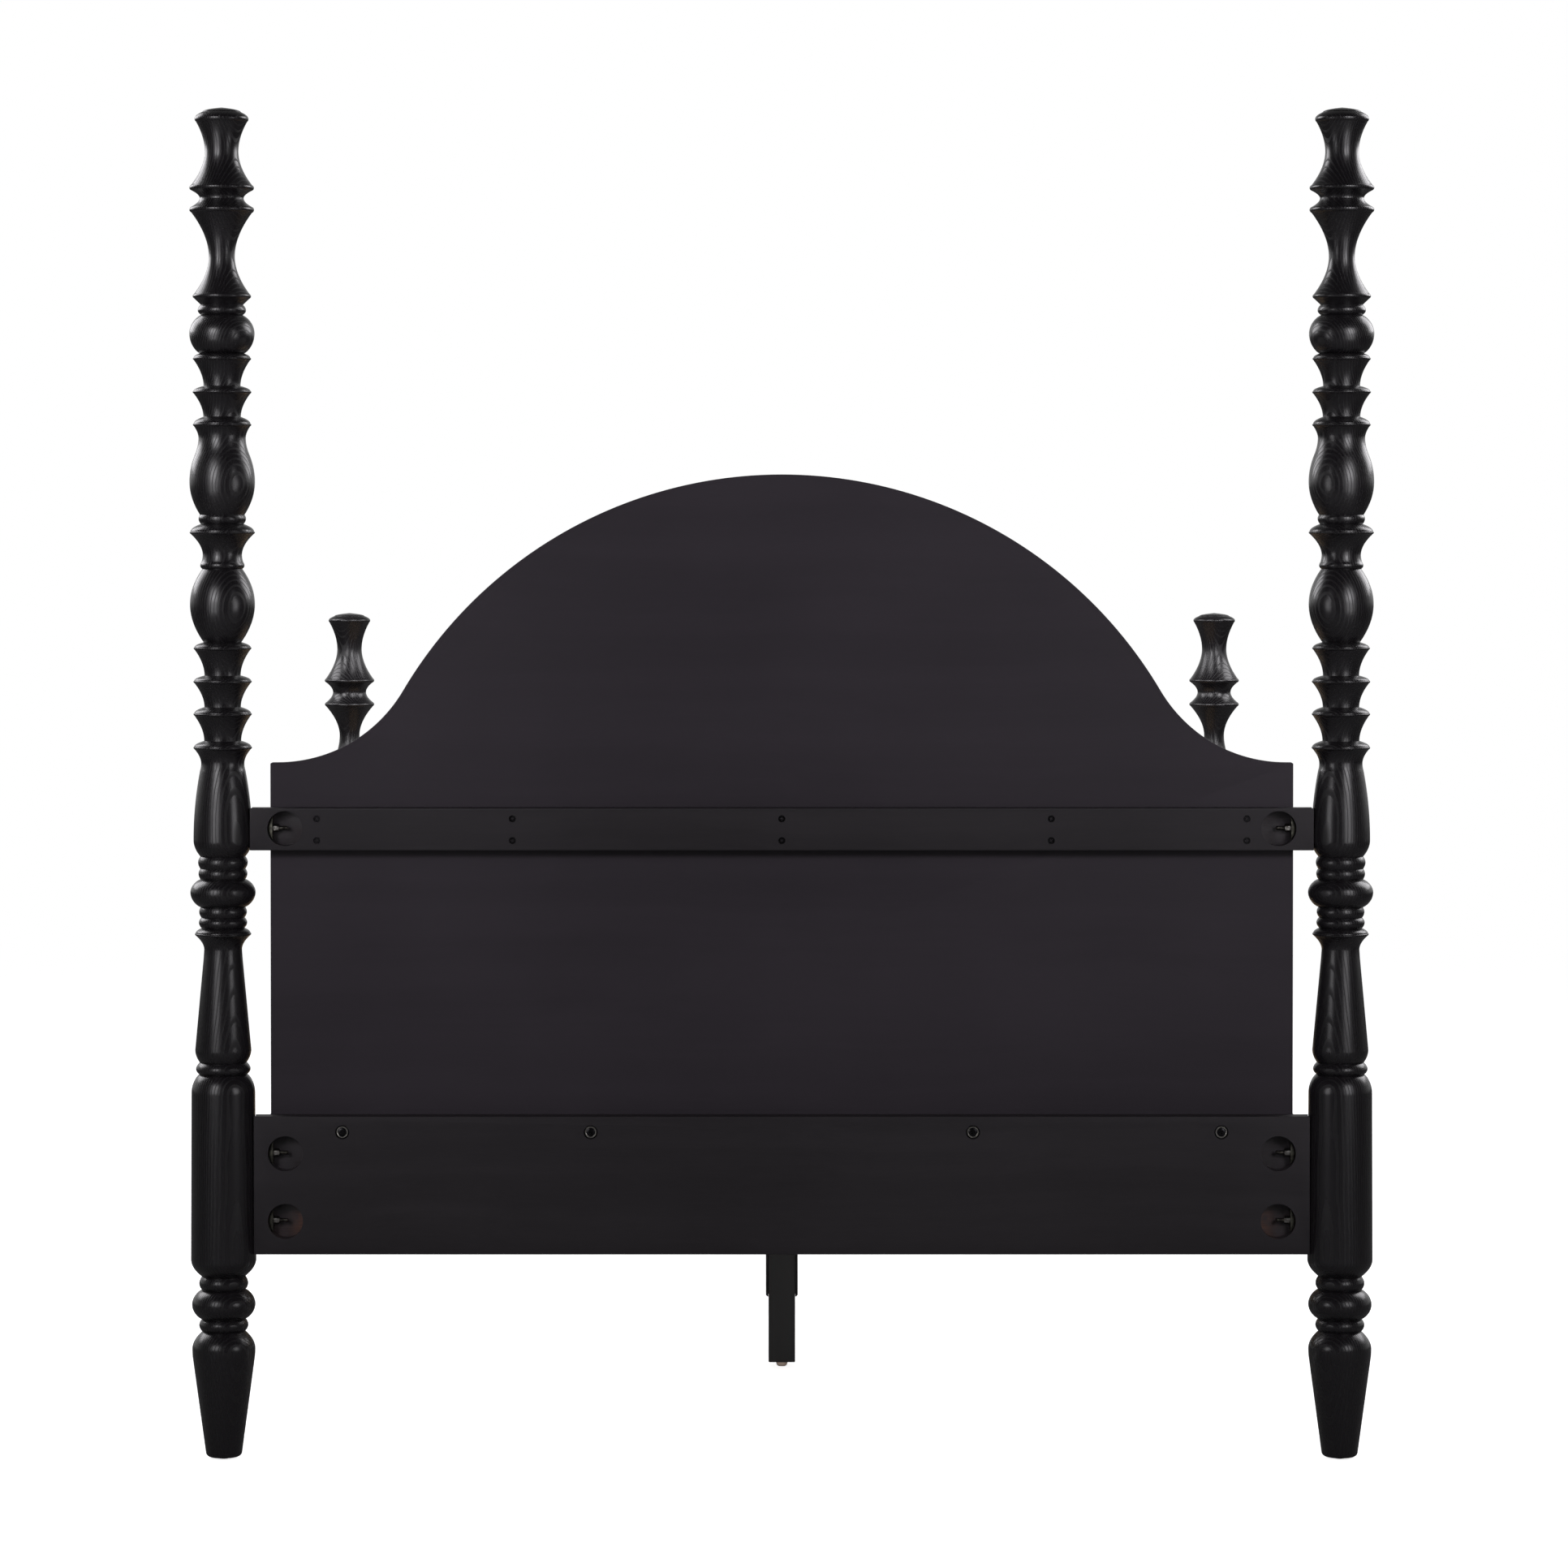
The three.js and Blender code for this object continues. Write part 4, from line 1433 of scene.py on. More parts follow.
@dataclass
class Hardware:
    """Rods, nuts, half-moon washers and screws, and where they go."""

    finishes: Finishes
    placer: Placer
    pocket_from_axis: float = POCKET_FROM_AXIS
    pocket_radius: float = 25 * MM
    rod_start: float = 12 * MM
    rod_end: float = 92.2 * MM
    rod_radius: float = 3.2 * MM
    rod_pitch: float = 1.25 * MM
    rod_clearance: float = 0.5 * MM
    washer_radius: float = 24.4 * MM
    washer_chord: float = 18 * MM
    washer_width: float = 15 * MM
    nut_flats: float = 10 * MM
    nut_thickness: float = 7.2 * MM
    nut_chamfer: float = 0.7 * MM
    flange_radius: float = 6.2 * MM
    flange_thickness: float = 1.2 * MM
    headboard_levels: tuple[float, float, float] = (900 * MM, 437 * MM, 340.5 * MM)
    bed_rail_level: float = 346.5 * MM

    def rods(self, post_x: float, post_y: float) -> list[Rod]:
        """Lists every rod.

        Args:
            post_x: how far each post's axis is from the middle, across the bed.
            post_y: the same, along the bed.

        Returns:
            The rods, each with the side that its pocket opens to.
        """
        found = []
        for side, sign in SIDES.items():
            inward = 0.0 if sign < 0 else math.pi
            for level, z in zip(("top", "middle", "low"), self.headboard_levels):
                place = Vector((sign * post_x, -post_y, z))
                found.append(Rod("headboard", f"{level}_{side}", place, inward, sign))
            place = Vector((sign * post_x, post_y, self.bed_rail_level))
            found.append(Rod("foot_rail", side, place, inward, sign))
            for end, way in ENDS.items():
                place = Vector((sign * post_x, way * post_y, self.bed_rail_level))
                found.append(Rod("side_rail", f"{end}_{side}", place, -way * math.pi / 2, -sign * way))
        return found

    def pocket_tool(self, rod: Rod, thickness: float, depth: float) -> Mesh:
        """Makes the cutter that bores a rod's pocket.

        Args:
            rod: the rod.
            thickness: the rail's thickness.
            depth: how deep the pocket is.

        Returns:
            The cutter, in place.
        """
        face = rod.opening * thickness / 2
        ends = sorted((face - rod.opening * depth, face + rod.opening * 2 * MM))
        tool = bar_mesh(Axis.Y, self.pocket_radius, ends[0], ends[1], (self.pocket_from_axis, 0.0), 72)
        return moved(tool, rod.frame())

    def rod_hole(self, start: float) -> Mesh:
        """Makes the cutter of a rod's hole, along +X from a place to the pocket's middle."""
        radius = self.rod_radius + self.rod_clearance
        return bar_mesh(Axis.X, radius, start, self.pocket_from_axis, (0.0, 0.0), 24)

    def threaded_rod(self) -> Mesh:
        """Makes a rod along +X with a real helical thread.

        Returns:
            The closed rod.
        """
        sides, root = 14, self.rod_radius - 0.68 * self.rod_pitch
        rings = 2 * int((self.rod_end - self.rod_start) / self.rod_pitch)
        points = []
        for ring in range(rings + 1):
            radius = self.rod_radius if ring % 2 else root
            for side in range(sides):
                angle = 2 * math.pi * side / sides
                along = self.rod_start + self.rod_pitch * (ring / 2 + side / sides - 0.5)
                points.append((along, radius * math.cos(angle), radius * math.sin(angle)))
        faces = []
        for ring in range(rings):
            for side in range(sides):
                here, there = ring * sides + side, (ring + 1) * sides + side
                if side + 1 < sides:
                    faces.append((here, here + 1, there + 1, there))
                elif ring + 3 <= rings:
                    faces.append((here, (ring + 2) * sides, (ring + 3) * sides, there))
        mesh = bpy.data.meshes.new("rod")
        mesh.from_pydata(points, [], faces)
        work = bmesh.new()
        work.from_mesh(mesh)
        edges = [edge for edge in work.edges if edge.is_boundary]
        filled = bmesh.ops.holes_fill(work, edges=edges, sides=0)
        bmesh.ops.triangulate(work, faces=filled["faces"])
        bmesh.ops.recalc_face_normals(work, faces=work.faces)
        work.to_mesh(mesh)
        work.free()
        return mesh

    def hex_nut(self, start: float) -> Mesh:
        """Makes a chamfered hexagon nut on the X axis.

        Args:
            start: where its first face is.

        Returns:
            The nut, with its hole.
        """
        sides, flat, chamfer = 48, self.nut_flats / 2, self.nut_chamfer
        end = start + self.nut_thickness

        def outside(angle: float) -> float:
            """Gives the hexagon's radius at an angle."""
            return flat / math.cos((angle + math.pi / 6) % (math.pi / 3) - math.pi / 6)

        def bevelled(cap: float, less: float) -> Callable[[float], float]:
            """Gives the hexagon's outline cut off at a radius, and then made smaller."""
            return lambda angle: min(outside(angle), cap) - less

        trimmed = flat * 1.02
        profile: list[tuple[float, Callable[[float], float]]] = [
            (0.0, lambda angle: self.rod_radius),
            (0.0, bevelled(trimmed, 0.15 * MM)),
            (0.3 * chamfer, bevelled(trimmed + 0.25 * MM, 0.0)),
            (chamfer, outside),
        ]
        rings = [(start + inset, radius) for inset, radius in profile]
        rings += [(end - inset, radius) for inset, radius in reversed(profile)]
        points = []
        for along, radius in rings:
            for side in range(sides):
                angle = 2 * math.pi * side / sides
                points.append((along, radius(angle) * math.cos(angle), radius(angle) * math.sin(angle)))
        return mesh_from("nut", points, ring_faces(len(rings), sides, closed=True))

    def half_moon_washer(self) -> Mesh:
        """Makes a washer that lies against the pocket's round wall and gives the nut a flat seat.

        Returns:
            The washer, with its hole.
        """
        half = math.acos(self.washer_chord / self.washer_radius)
        middle = (self.pocket_from_axis, 0.0)
        outline = arc(middle, self.washer_radius, math.pi - half, math.pi + half, 24)
        blank = prism_mesh(outline, Axis.Y, -self.washer_width / 2, self.washer_width / 2)
        return cut(eased(blank, 0.5 * MM, 3), [self.rod_hole(0.0)])

    def connectors(self, rods: Sequence[Rod]) -> None:
        """Makes every rod with its nut and washer.

        Args:
            rods: where they go.
        """
        nut_start = self.pocket_from_axis - self.washer_chord + GAP
        flange_end = nut_start + self.flange_thickness
        flange = bar_mesh(Axis.X, self.flange_radius, nut_start, flange_end, (0.0, 0.0), 36)
        nut = self.hex_nut(nut_start + 0.9 * MM)
        shapes = {
            "rods": (self.threaded_rod(), self.finishes.rod_zinc),
            "nuts": (joined("nut", [eased(flange, 0.2 * MM), nut]), self.finishes.rod_zinc),
            "half_moon_washers": (self.half_moon_washer(), self.finishes.washer),
        }
        at_head = [rod for rod in rods if rod.kind == "headboard"]
        others = [rod for rod in rods if rod.kind != "headboard"]
        nodes = {
            "rods": [f"{rod.kind}_rod_{rod.name}" for rod in at_head + others],
            "nuts": [],
            "half_moon_washers": [f"half_moon_washer_{rod.name}" for rod in at_head],
        }
        places = [rod.axis for rod in rods]
        turns = [(0.0, 0.0, rod.turn) for rod in rods]
        for name, (shape, material) in shapes.items():
            mesh = self.placer.place(shape, places, turns, material)
            add_piece(f"connector_{name}", mesh, None, nodes[name], sharp_over=30.0)

    def screw_mesh(self, kind: ScrewKind) -> Mesh:
        """Makes a screw head with a cross recess, facing +Z, with its rim at z 0.

        Args:
            kind: which screw it is.

        Returns:
            The screw, with a short shank.
        """
        head_radius, head_depth, domed = (size * MM for size in kind.value)
        shank = 0.45 * head_radius
        stations = [
            (-head_depth - 6 * MM, shank),
            (-head_depth, shank),
            (-0.15 * head_depth, head_radius),
            (0.0, head_radius),
        ]
        if domed:
            turns = (0.35, 0.75, 1.15, 1.45)
            stations += [(domed * math.sin(a), head_radius * math.cos(a)) for a in turns]
        else:
            stations.append((0.02 * MM, 0.9 * head_radius))
        reach, arm = 0.55 * head_radius, 0.15 * head_radius
        return cut(turned_mesh(stations, 24), cross_recess(reach, arm, domed - reach, domed + 1 * MM))

    def screws(
        self,
        name: str,
        shape: Mesh,
        points: Sequence[Vector],
        facing: Vector,
        material: Material,
        nodes: Sequence[str] = (),
    ) -> None:
        """Drives a set of screws that all face one way.

        Args:
            name: the set's name.
            shape: one screw, facing +Z.
            points: where their heads' rims are.
            facing: the way that the heads face.
            material: their material.
            nodes: the CAD nodes that they stand for.
        """
        way = facing.to_track_quat("Z", "Y")
        turns = []
        for i in range(len(points)):
            spun = way.to_matrix() @ Matrix.Rotation(0.61 * i, 3, "Z")
            turns.append(tuple(spun.to_euler()))
        mesh = self.placer.place(shape, points, turns, material)
        add_piece(name, mesh, None, nodes, sharp_over=30.0)


# ---- Rails and headboard ----


def dress_pockets(
    mesh: Mesh,
    rods: Sequence[Rod],
    hardware: Hardware,
    surface: Material,
    pocket: Material,
) -> None:
    """Gives a rail its finish, and the inside of each pocket its half-stained timber.

    Args:
        mesh: the rail.
        rods: the rods whose pockets it holds.
        hardware: the sizes of the pockets.
        surface: the rail's finish.
        pocket: the finish inside the pockets.
    """
    mesh.materials.clear()
    mesh.materials.append(surface)
    mesh.materials.append(pocket)
    frames = [rod.frame().inverted() for rod in rods]
    for face in mesh.polygons:
        face.material_index = 0
        for inverse in frames:
            local = inverse @ face.center
            from_centre = math.hypot(local.x - hardware.pocket_from_axis, local.z)
            normal = inverse.to_3x3() @ face.normal
            wall = abs(normal.y) < 0.4 and abs(from_centre - hardware.pocket_radius) < 1.2 * MM
            floor = abs(normal.y) > 0.9 and from_centre < hardware.pocket_radius - 1 * MM
            if wall or floor:
                face.material_index = 1


def coped_outline(half_span: float, half_thickness: float, socket_radius: float) -> Outline:
    """Gives the plan of a rail with ends hollowed to fit round posts.

    Args:
        half_span: half the distance between the posts' axes.
        half_thickness: half the rail's thickness.
        socket_radius: the radius of each hollow end.

    Returns:
        The outline's corners, with the rail lying along the first axis.
    """
    spread = math.asin(half_thickness / socket_radius)
    right = arc((half_span, 0.0), socket_radius, math.pi + spread, math.pi - spread, 10)
    left = arc((-half_span, 0.0), socket_radius, spread, -spread, 10)
    return right + left


@dataclass
class Rails:
    """The rails that join the posts."""

    finishes: Finishes
    hardware: Hardware
    post_x: float
    post_y: float
    barrel_socket: float = 46.8 * MM
    vase_socket: float = 42.3 * MM
    headboard_pocket_depth: float = 24 * MM
    bed_rail_pocket_depth: float = 20.5 * MM
    edge: float = 0.8 * MM

    def rail(
        self,
        node: str,
        rods: Sequence[Rod],
        socket_radius: float,
        pocket_depth: float,
        surface: Material,
        extra_tools: Sequence[Mesh] = (),
        planed_off: float = 0.0,
    ) -> None:
        """Makes one rail with coped ends, eased edges and bored pockets.

        Args:
            node: the CAD node that it stands for.
            rods: the rods that it takes.
            socket_radius: the radius of its hollow ends.
            pocket_depth: how deep its pockets are.
            surface: its finish.
            extra_tools: other cutters, in place.
            planed_off: how much is taken off its lower edge.
        """
        low, high = corners(node)
        size, middle = high - low, (low + high) / 2
        along_x = size.x > size.y
        thickness = size.y if along_x else size.x
        span = self.post_x if along_x else self.post_y
        outline = coped_outline(span, thickness / 2, socket_radius)
        blank = prism_mesh(outline, Axis.Z, low.z + planed_off, high.z)
        if not along_x:
            blank.transform(Matrix.Rotation(math.pi / 2, 4, "Z"))
        blank.transform(Matrix.Translation((middle.x, middle.y, 0.0)))
        blank = eased(blank, self.edge, 3, 50.0)
        hole = self.hardware.rod_hole(self.hardware.rod_start)
        tools = [self.hardware.pocket_tool(rod, thickness, pocket_depth) for rod in rods]
        tools += [moved(hole, rod.frame()) for rod in rods]
        mesh = cut(blank, tools + list(extra_tools))
        dress_pockets(mesh, rods, self.hardware, surface, self.finishes.pocket)
        add_piece(f"finished_{node}", mesh, None, [node], sharp_over=32.0)

    def build_bed_rails(self, rods: Sequence[Rod]) -> None:
        """Makes the side rails, their cleats and the foot rail.

        Args:
            rods: every rod of the bed.
        """
        sizes = (self.barrel_socket, self.bed_rail_pocket_depth)
        for side in SIDES:
            own = [rod for rod in rods if rod.kind == "side_rail" and rod.name.endswith(side)]
            self.rail(f"side_rail_{side}", own, *sizes, self.finishes.side_rail)
            add_board(f"slat_cleat_{side}", self.finishes.side_rail)
        foot = [rod for rod in rods if rod.kind == "foot_rail"]
        self.rail("foot_rail", foot, *sizes, self.finishes.rail)


@dataclass
class Headboard:
    """The arched panel, the two rails behind it and what fastens them together."""

    finishes: Finishes
    hardware: Hardware
    rails: Rails
    crown_radius: float = 628 * MM
    cove_radius: float = 210 * MM
    shoulder: float = 992 * MM
    crown: float = 1403.6 * MM
    panel_edge: float = 2.0 * MM
    screw_x: tuple[float, ...] = (-661 * MM, -383 * MM, 0.0, 383 * MM, 661 * MM)
    screw_z: tuple[float, ...] = (883 * MM, 914 * MM)
    screw_recess: float = 5.0 * MM
    screw_recess_depth: float = 3.4 * MM
    screw_proud: float = 0.8 * MM
    bolt_x: tuple[float, ...] = (-625.5 * MM, -272 * MM, 272 * MM, 625.5 * MM)
    bolt_z: float = 467.5 * MM
    bolt_recess: float = 10 * MM
    bolt_recess_depth: float = 6 * MM
    bolt_head: float = 8.6 * MM
    bolt_rim_height: float = 3 * MM
    bottom_planed_off: float = 3.2 * MM

    def panel_outline(self, half_width: float, bottom: float) -> Outline:
        """Gives the panel's outline: a round crown that runs into a cove above each shoulder.

        Args:
            half_width: half the panel's width.
            bottom: the height of its lower edge.

        Returns:
            The outline's corners, as (x, z).
        """
        crown_centre = self.crown - self.crown_radius
        cove_centre = self.shoulder + self.cove_radius
        reach = self.crown_radius + self.cove_radius
        rise = math.asin((cove_centre - crown_centre) / reach)
        cove_x = reach * math.cos(rise)
        right = arc((cove_x, cove_centre), self.cove_radius, -math.pi / 2, rise - math.pi, 28)
        over = arc((0.0, crown_centre), self.crown_radius, rise, math.pi - rise, 96)
        left = [(-x, z) for x, z in reversed(right)]
        corners = [(-half_width, self.shoulder), (-half_width, bottom), (half_width, bottom)]
        return corners + [(half_width, self.shoulder)] + right + over[1:-1] + left

    def recesses(self, points: Sequence[Vector], radius: float, depth: float, sides: int) -> list[Mesh]:
        """Makes the cutters of round recesses in a rail's back.

        Args:
            points: their middles.
            radius: their radius.
            depth: how deep they are.
            sides: how many sides each has.

        Returns:
            The cutters.
        """
        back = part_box("headboard_top_rail")[0][1]
        return [bar_mesh(Axis.Y, radius, back - 2 * MM, back + depth, (p.x, p.z), sides) for p in points]

    def build(self, rods: Sequence[Rod]) -> None:
        """Makes the headboard.

        Args:
            rods: every rod of the bed.
        """
        node = "headboard_panel"
        low, high = corners(node)
        panel = prism_mesh(self.panel_outline(high.x, low.z), Axis.Y, low.y, high.y)
        panel = eased(panel, self.panel_edge, 4, 50.0)
        add_piece(f"finished_{node}", panel, self.finishes.panel, [node], sharp_over=30.0)

        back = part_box("headboard_top_rail")[0][1]
        screw_y = back + self.screw_recess_depth
        bolt_y = back + self.bolt_recess_depth - self.bolt_rim_height
        screw_places = [Vector((x, screw_y, z)) for x in self.screw_x for z in self.screw_z]
        bolt_places = [Vector((x, bolt_y, self.bolt_z)) for x in self.bolt_x]
        top = [rod for rod in rods if rod.name.startswith("top_")]
        bottom = [rod for rod in rods if rod.kind == "headboard" and rod not in top]
        screw_tools = self.recesses(screw_places, self.screw_recess, self.screw_recess_depth, 32)
        bolt_tools = self.recesses(bolt_places, self.bolt_recess, self.bolt_recess_depth, 40)
        rails, finish = self.rails, self.finishes.rail
        depth, planed = rails.headboard_pocket_depth, self.bottom_planed_off
        rails.rail("headboard_top_rail", top, rails.vase_socket, depth, finish, screw_tools)
        rails.rail("headboard_bottom_rail", bottom, rails.barrel_socket, depth, finish, bolt_tools, planed)
        drive, black = self.hardware.screws, self.finishes.black_screw
        backwards = -FOOTWARDS
        screw_places = [p - Vector((0, self.screw_proud, 0)) for p in screw_places]
        drive("top_rail_screws", self.hardware.screw_mesh(ScrewKind.RAIL), screw_places, backwards, black)
        nodes = [f"panel_bolt_{i + 1}" for i in range(len(self.bolt_x))]
        drive("panel_bolts", self.bolt_mesh(), bolt_places, backwards, black, nodes)
        drive("panel_bolt_rims", self.bolt_rim(), bolt_places, backwards, self.finishes.zinc)

    def bolt_mesh(self) -> Mesh:
        """Makes a pan-head bolt that faces +Z, with its rim's upper face at z 0.

        Returns:
            The bolt.
        """
        head = 0.70 * self.bolt_head
        stations = [
            (-20 * MM, 3 * MM),
            (-1.6 * MM, 3 * MM),
            (-1.4 * MM, head),
            (0.0, head),
            (0.5 * MM, 0.96 * head),
            (0.9 * MM, 0.82 * head),
            (1.1 * MM, 0.5 * head),
        ]
        recess = cross_recess(0.55 * head, 0.16 * head, -0.9 * MM, 4 * MM)
        return cut(turned_mesh(stations, 40), recess)

    def bolt_rim(self) -> Mesh:
        """Makes the plated washer rim round a bolt head: a ring with a round upper face.

        Returns:
            The closed ring.
        """
        outer, sides = self.bolt_head, 40
        inner = 0.70 * outer + 0.15 * MM
        middle, half = (outer + inner) / 2, (outer - inner) / 2
        turns = (0.0, 0.6, 1.2, 1.9, 2.5, math.pi)
        section = [(-1.6 * MM, inner), (-1.6 * MM, outer)]
        section += [(half * math.sin(a) * 0.9, middle + half * math.cos(a)) for a in turns]
        points = [(x, y, z) for z, radius in section for x, y in ring_points(radius, sides)]
        return mesh_from("bolt_rim", points, ring_faces(len(section), sides, closed=True))


# ---- Deck and centre legs ----


@dataclass
class SlatDeck:
    """The slats, the centre beam and the steel hangers at its ends."""

    finishes: Finishes
    hardware: Hardware
    row: Row
    count: int
    sheet: float = 3 * MM
    hanger_bend: float = 2.4 * MM
    screw_from_end: float = 0.011
    screw_from_middle: float = 0.024

    def build(self) -> None:
        """Makes the deck."""
        nodes = [f"slat_{i + 1:02d}" for i in range(self.count)]
        low, high = corners(nodes[0])
        last_low, _ = corners(nodes[-1])
        middle = (low + high) / 2
        board = eased(box_mesh(low - middle, high - middle), 1.6 * MM, 3)
        pitch = (last_low - low) / (self.count - 1)
        slats = self.row.lay(board, self.count, middle, pitch, self.finishes.pine)
        add_piece("slats", slats, None, nodes)
        self.slat_screws(low, high, pitch)
        self.build_beam()

    def slat_screws(self, low: Vector, high: Vector, pitch: Vector) -> None:
        """Drives two screws through each end of every slat, and one into the beam.

        Args:
            low: the first slat's lowest corner.
            high: its highest corner.
            pitch: the step from each slat to the next.
        """
        middle_y, inset = (low.y + high.y) / 2, self.screw_from_middle
        end_x = high.x - self.screw_from_end
        places = [(sign * end_x, way * inset) for sign in (-1, 1) for way in (-1, 1)] + [(0.0, 0.0)]
        points = [
            Vector((x, middle_y + dy, high.z + 0.1 * MM)) + pitch * i
            for i in range(self.count)
            for x, dy in places
        ]
        shape = self.hardware.screw_mesh(ScrewKind.SLAT)
        self.hardware.screws("slat_screws", shape, points, UP, self.finishes.zinc)

    def build_beam(self) -> None:
        """Makes the centre beam and its hangers."""
        add_board("centre_beam", self.finishes.side_rail)
        _, beam_high = corners("centre_beam")
        shape = self.hardware.screw_mesh(ScrewKind.FITTING)
        for end, sign in ENDS.items():
            node = f"beam_hanger_{end}"
            low, high = corners(node)
            wall = low.y if sign < 0 else high.y
            plate_end = wall - sign * self.sheet
            plate = box_mesh((low.x, min(wall, plate_end), low.z), (high.x, max(wall, plate_end), high.z))
            inner = beam_high.x + GAP
            outer = inner + self.sheet
            bend = self.hanger_bend
            outline = [(-outer, high.z), (-outer, low.z + bend)]
            outline += arc((-outer + bend, low.z + bend), bend, math.pi, 1.5 * math.pi, 5)[1:]
            outline += arc((outer - bend, low.z + bend), bend, 1.5 * math.pi, 2 * math.pi, 5)
            outline += [(outer, high.z), (inner, high.z), (inner, low.z + self.sheet)]
            outline += [(-inner, low.z + self.sheet), (-inner, high.z)]
            saddle = prism_mesh(outline, Axis.Y, low.y, high.y)
            mesh = joined(node, [eased(plate, 0.6 * MM), eased(saddle, 0.5 * MM)])
            add_piece(f"finished_{node}", mesh, self.finishes.black_steel, [node])
            facing = -sign * FOOTWARDS
            points = [
                Vector((side * (outer + 8 * MM), plate_end - sign * 0.2 * MM, z))
                for side in (-1, 1)
                for z in (low.z + 14 * MM, high.z - 12 * MM)
            ]
            self.hardware.screws(f"hanger_screws_{end}", shape, points, facing, self.finishes.zinc)


@dataclass
class CentreLegs:
    """The two legs under the beam, the steel channels that hold them and their levelling glides."""

    finishes: Finishes
    hardware: Hardware
    sheet: float = 3 * MM
    bend: float = 4 * MM
    bore_radius: float = 4.6 * MM
    bore_depth: float = 36 * MM
    socket_depth: float = 34 * MM
    socket_wider: float = 0.9 * MM
    flange_corner: float = 7 * MM
    plate_screw_x: float = 15 * MM
    plate_screw_inset: float = 9 * MM
    back_screw_z: tuple[float, float] = (0.150, 0.235)
    glide_height: float = 8.5 * MM
    thread_pitch: float = 1.25 * MM

    def build(self) -> None:
        """Makes both legs."""
        for end in ENDS:
            self.build_leg(end)
            self.build_socket(end)
            self.build_glide(end)

    def build_leg(self, end: str) -> None:
        """Makes one wooden leg.

        Args:
            end: which leg it is.
        """
        node = f"centre_leg_{end}"
        low, high = corners(node)
        middle = (low + high) / 2
        leg = eased(box_mesh(low, high), 1.8 * MM, 3)
        reach = (low.z - 1 * MM, low.z + self.bore_depth)
        bore = bar_mesh(Axis.Z, self.bore_radius, *reach, (middle.x, middle.y), 24)
        add_piece(f"finished_{node}", cut(leg, [bore]), self.finishes.leg, [node])

    def channel(self, inner: float, outer: float, front: float, back: float, low: float, high: float) -> Mesh:
        """Makes a bent channel with its lower end trimmed.

        Args:
            inner: how far its inside is from the middle, across the bed.
            outer: the same for its outside.
            front: where its flanges end, along the bed.
            back: where its back is.
            low: the height of its lower end.
            high: the height of its upper end.

        Returns:
            The channel.
        """
        r, corner = self.bend, self.flange_corner
        outline = [(-outer, front)]
        outline += arc((-outer + r, back - r), r, math.pi, math.pi / 2, 6)
        outline += arc((outer - r, back - r), r, math.pi / 2, 0.0, 6)
        outline += [(outer, front), (inner, front), (inner, back - self.sheet)]
        outline += [(-inner, back - self.sheet), (-inner, front)]
        tools = []
        for sign in (-1, 1):
            # The free lower corner of each flange is rounded off.
            tip = [(front - 1 * MM, low - 1 * MM), (front + corner, low - 1 * MM), (front + corner, low)]
            tip += arc((front + corner, low + corner), corner, -math.pi / 2, -math.pi, 8)[1:]
            tip += [(front - 1 * MM, low + corner)]
            reach = sorted((sign * (inner - 1 * MM), sign * (outer + 1 * MM)))
            tools.append(prism_mesh(tip, Axis.X, *reach))
            # The outer edge of its lower end is ground back.
            bevel = [
                (sign * (outer + 1 * MM), low - 1 * MM),
                (sign * (outer + 1 * MM), low + 4.6 * MM),
                (sign * outer, low + 3.4 * MM),
                (sign * (outer - 3.0 * MM), low - 0.2 * MM),
                (sign * (outer - 3.0 * MM), low - 1 * MM),
            ]
            tools.append(prism_mesh(bevel, Axis.Y, front - 2 * MM, back + 2 * MM))
        return eased(cut(prism_mesh(outline, Axis.Z, low, high), tools), 0.5 * MM, 2, 50.0)

    def build_socket(self, end: str) -> None:
        """Makes the channel and plate that hold one leg, with their screws.

        Args:
            end: which leg it holds.
        """
        node = f"leg_socket_{end}"
        low, high = corners(node)
        _, leg_high = corners(f"centre_leg_{end}")
        back, front = leg_high.y + GAP + self.sheet, leg_high.y - self.socket_depth
        under = high.z - self.sheet
        channel = self.channel(leg_high.x + GAP, high.x + self.socket_wider, front, back, low.z, under)
        plate = eased(box_mesh((low.x, low.y, under), high), 0.6 * MM)
        mesh = joined(node, [channel, plate])
        add_piece(f"finished_{node}", mesh, self.finishes.black_steel, [node])

        screw = self.hardware.screw_mesh(ScrewKind.FITTING)
        rows = (low.y + self.plate_screw_inset, high.y - self.plate_screw_inset)
        columns = (-self.plate_screw_x, self.plate_screw_x)
        plate_points = [Vector((x, y, under - 0.2 * MM)) for x in columns for y in rows]
        back_points = [Vector((0.0, back + 0.2 * MM, z)) for z in self.back_screw_z]
        drive, zinc = self.hardware.screws, self.finishes.zinc
        drive(f"socket_plate_screws_{end}", screw, plate_points, -UP, zinc)
        drive(f"socket_screws_{end}", screw, back_points, FOOTWARDS, zinc)

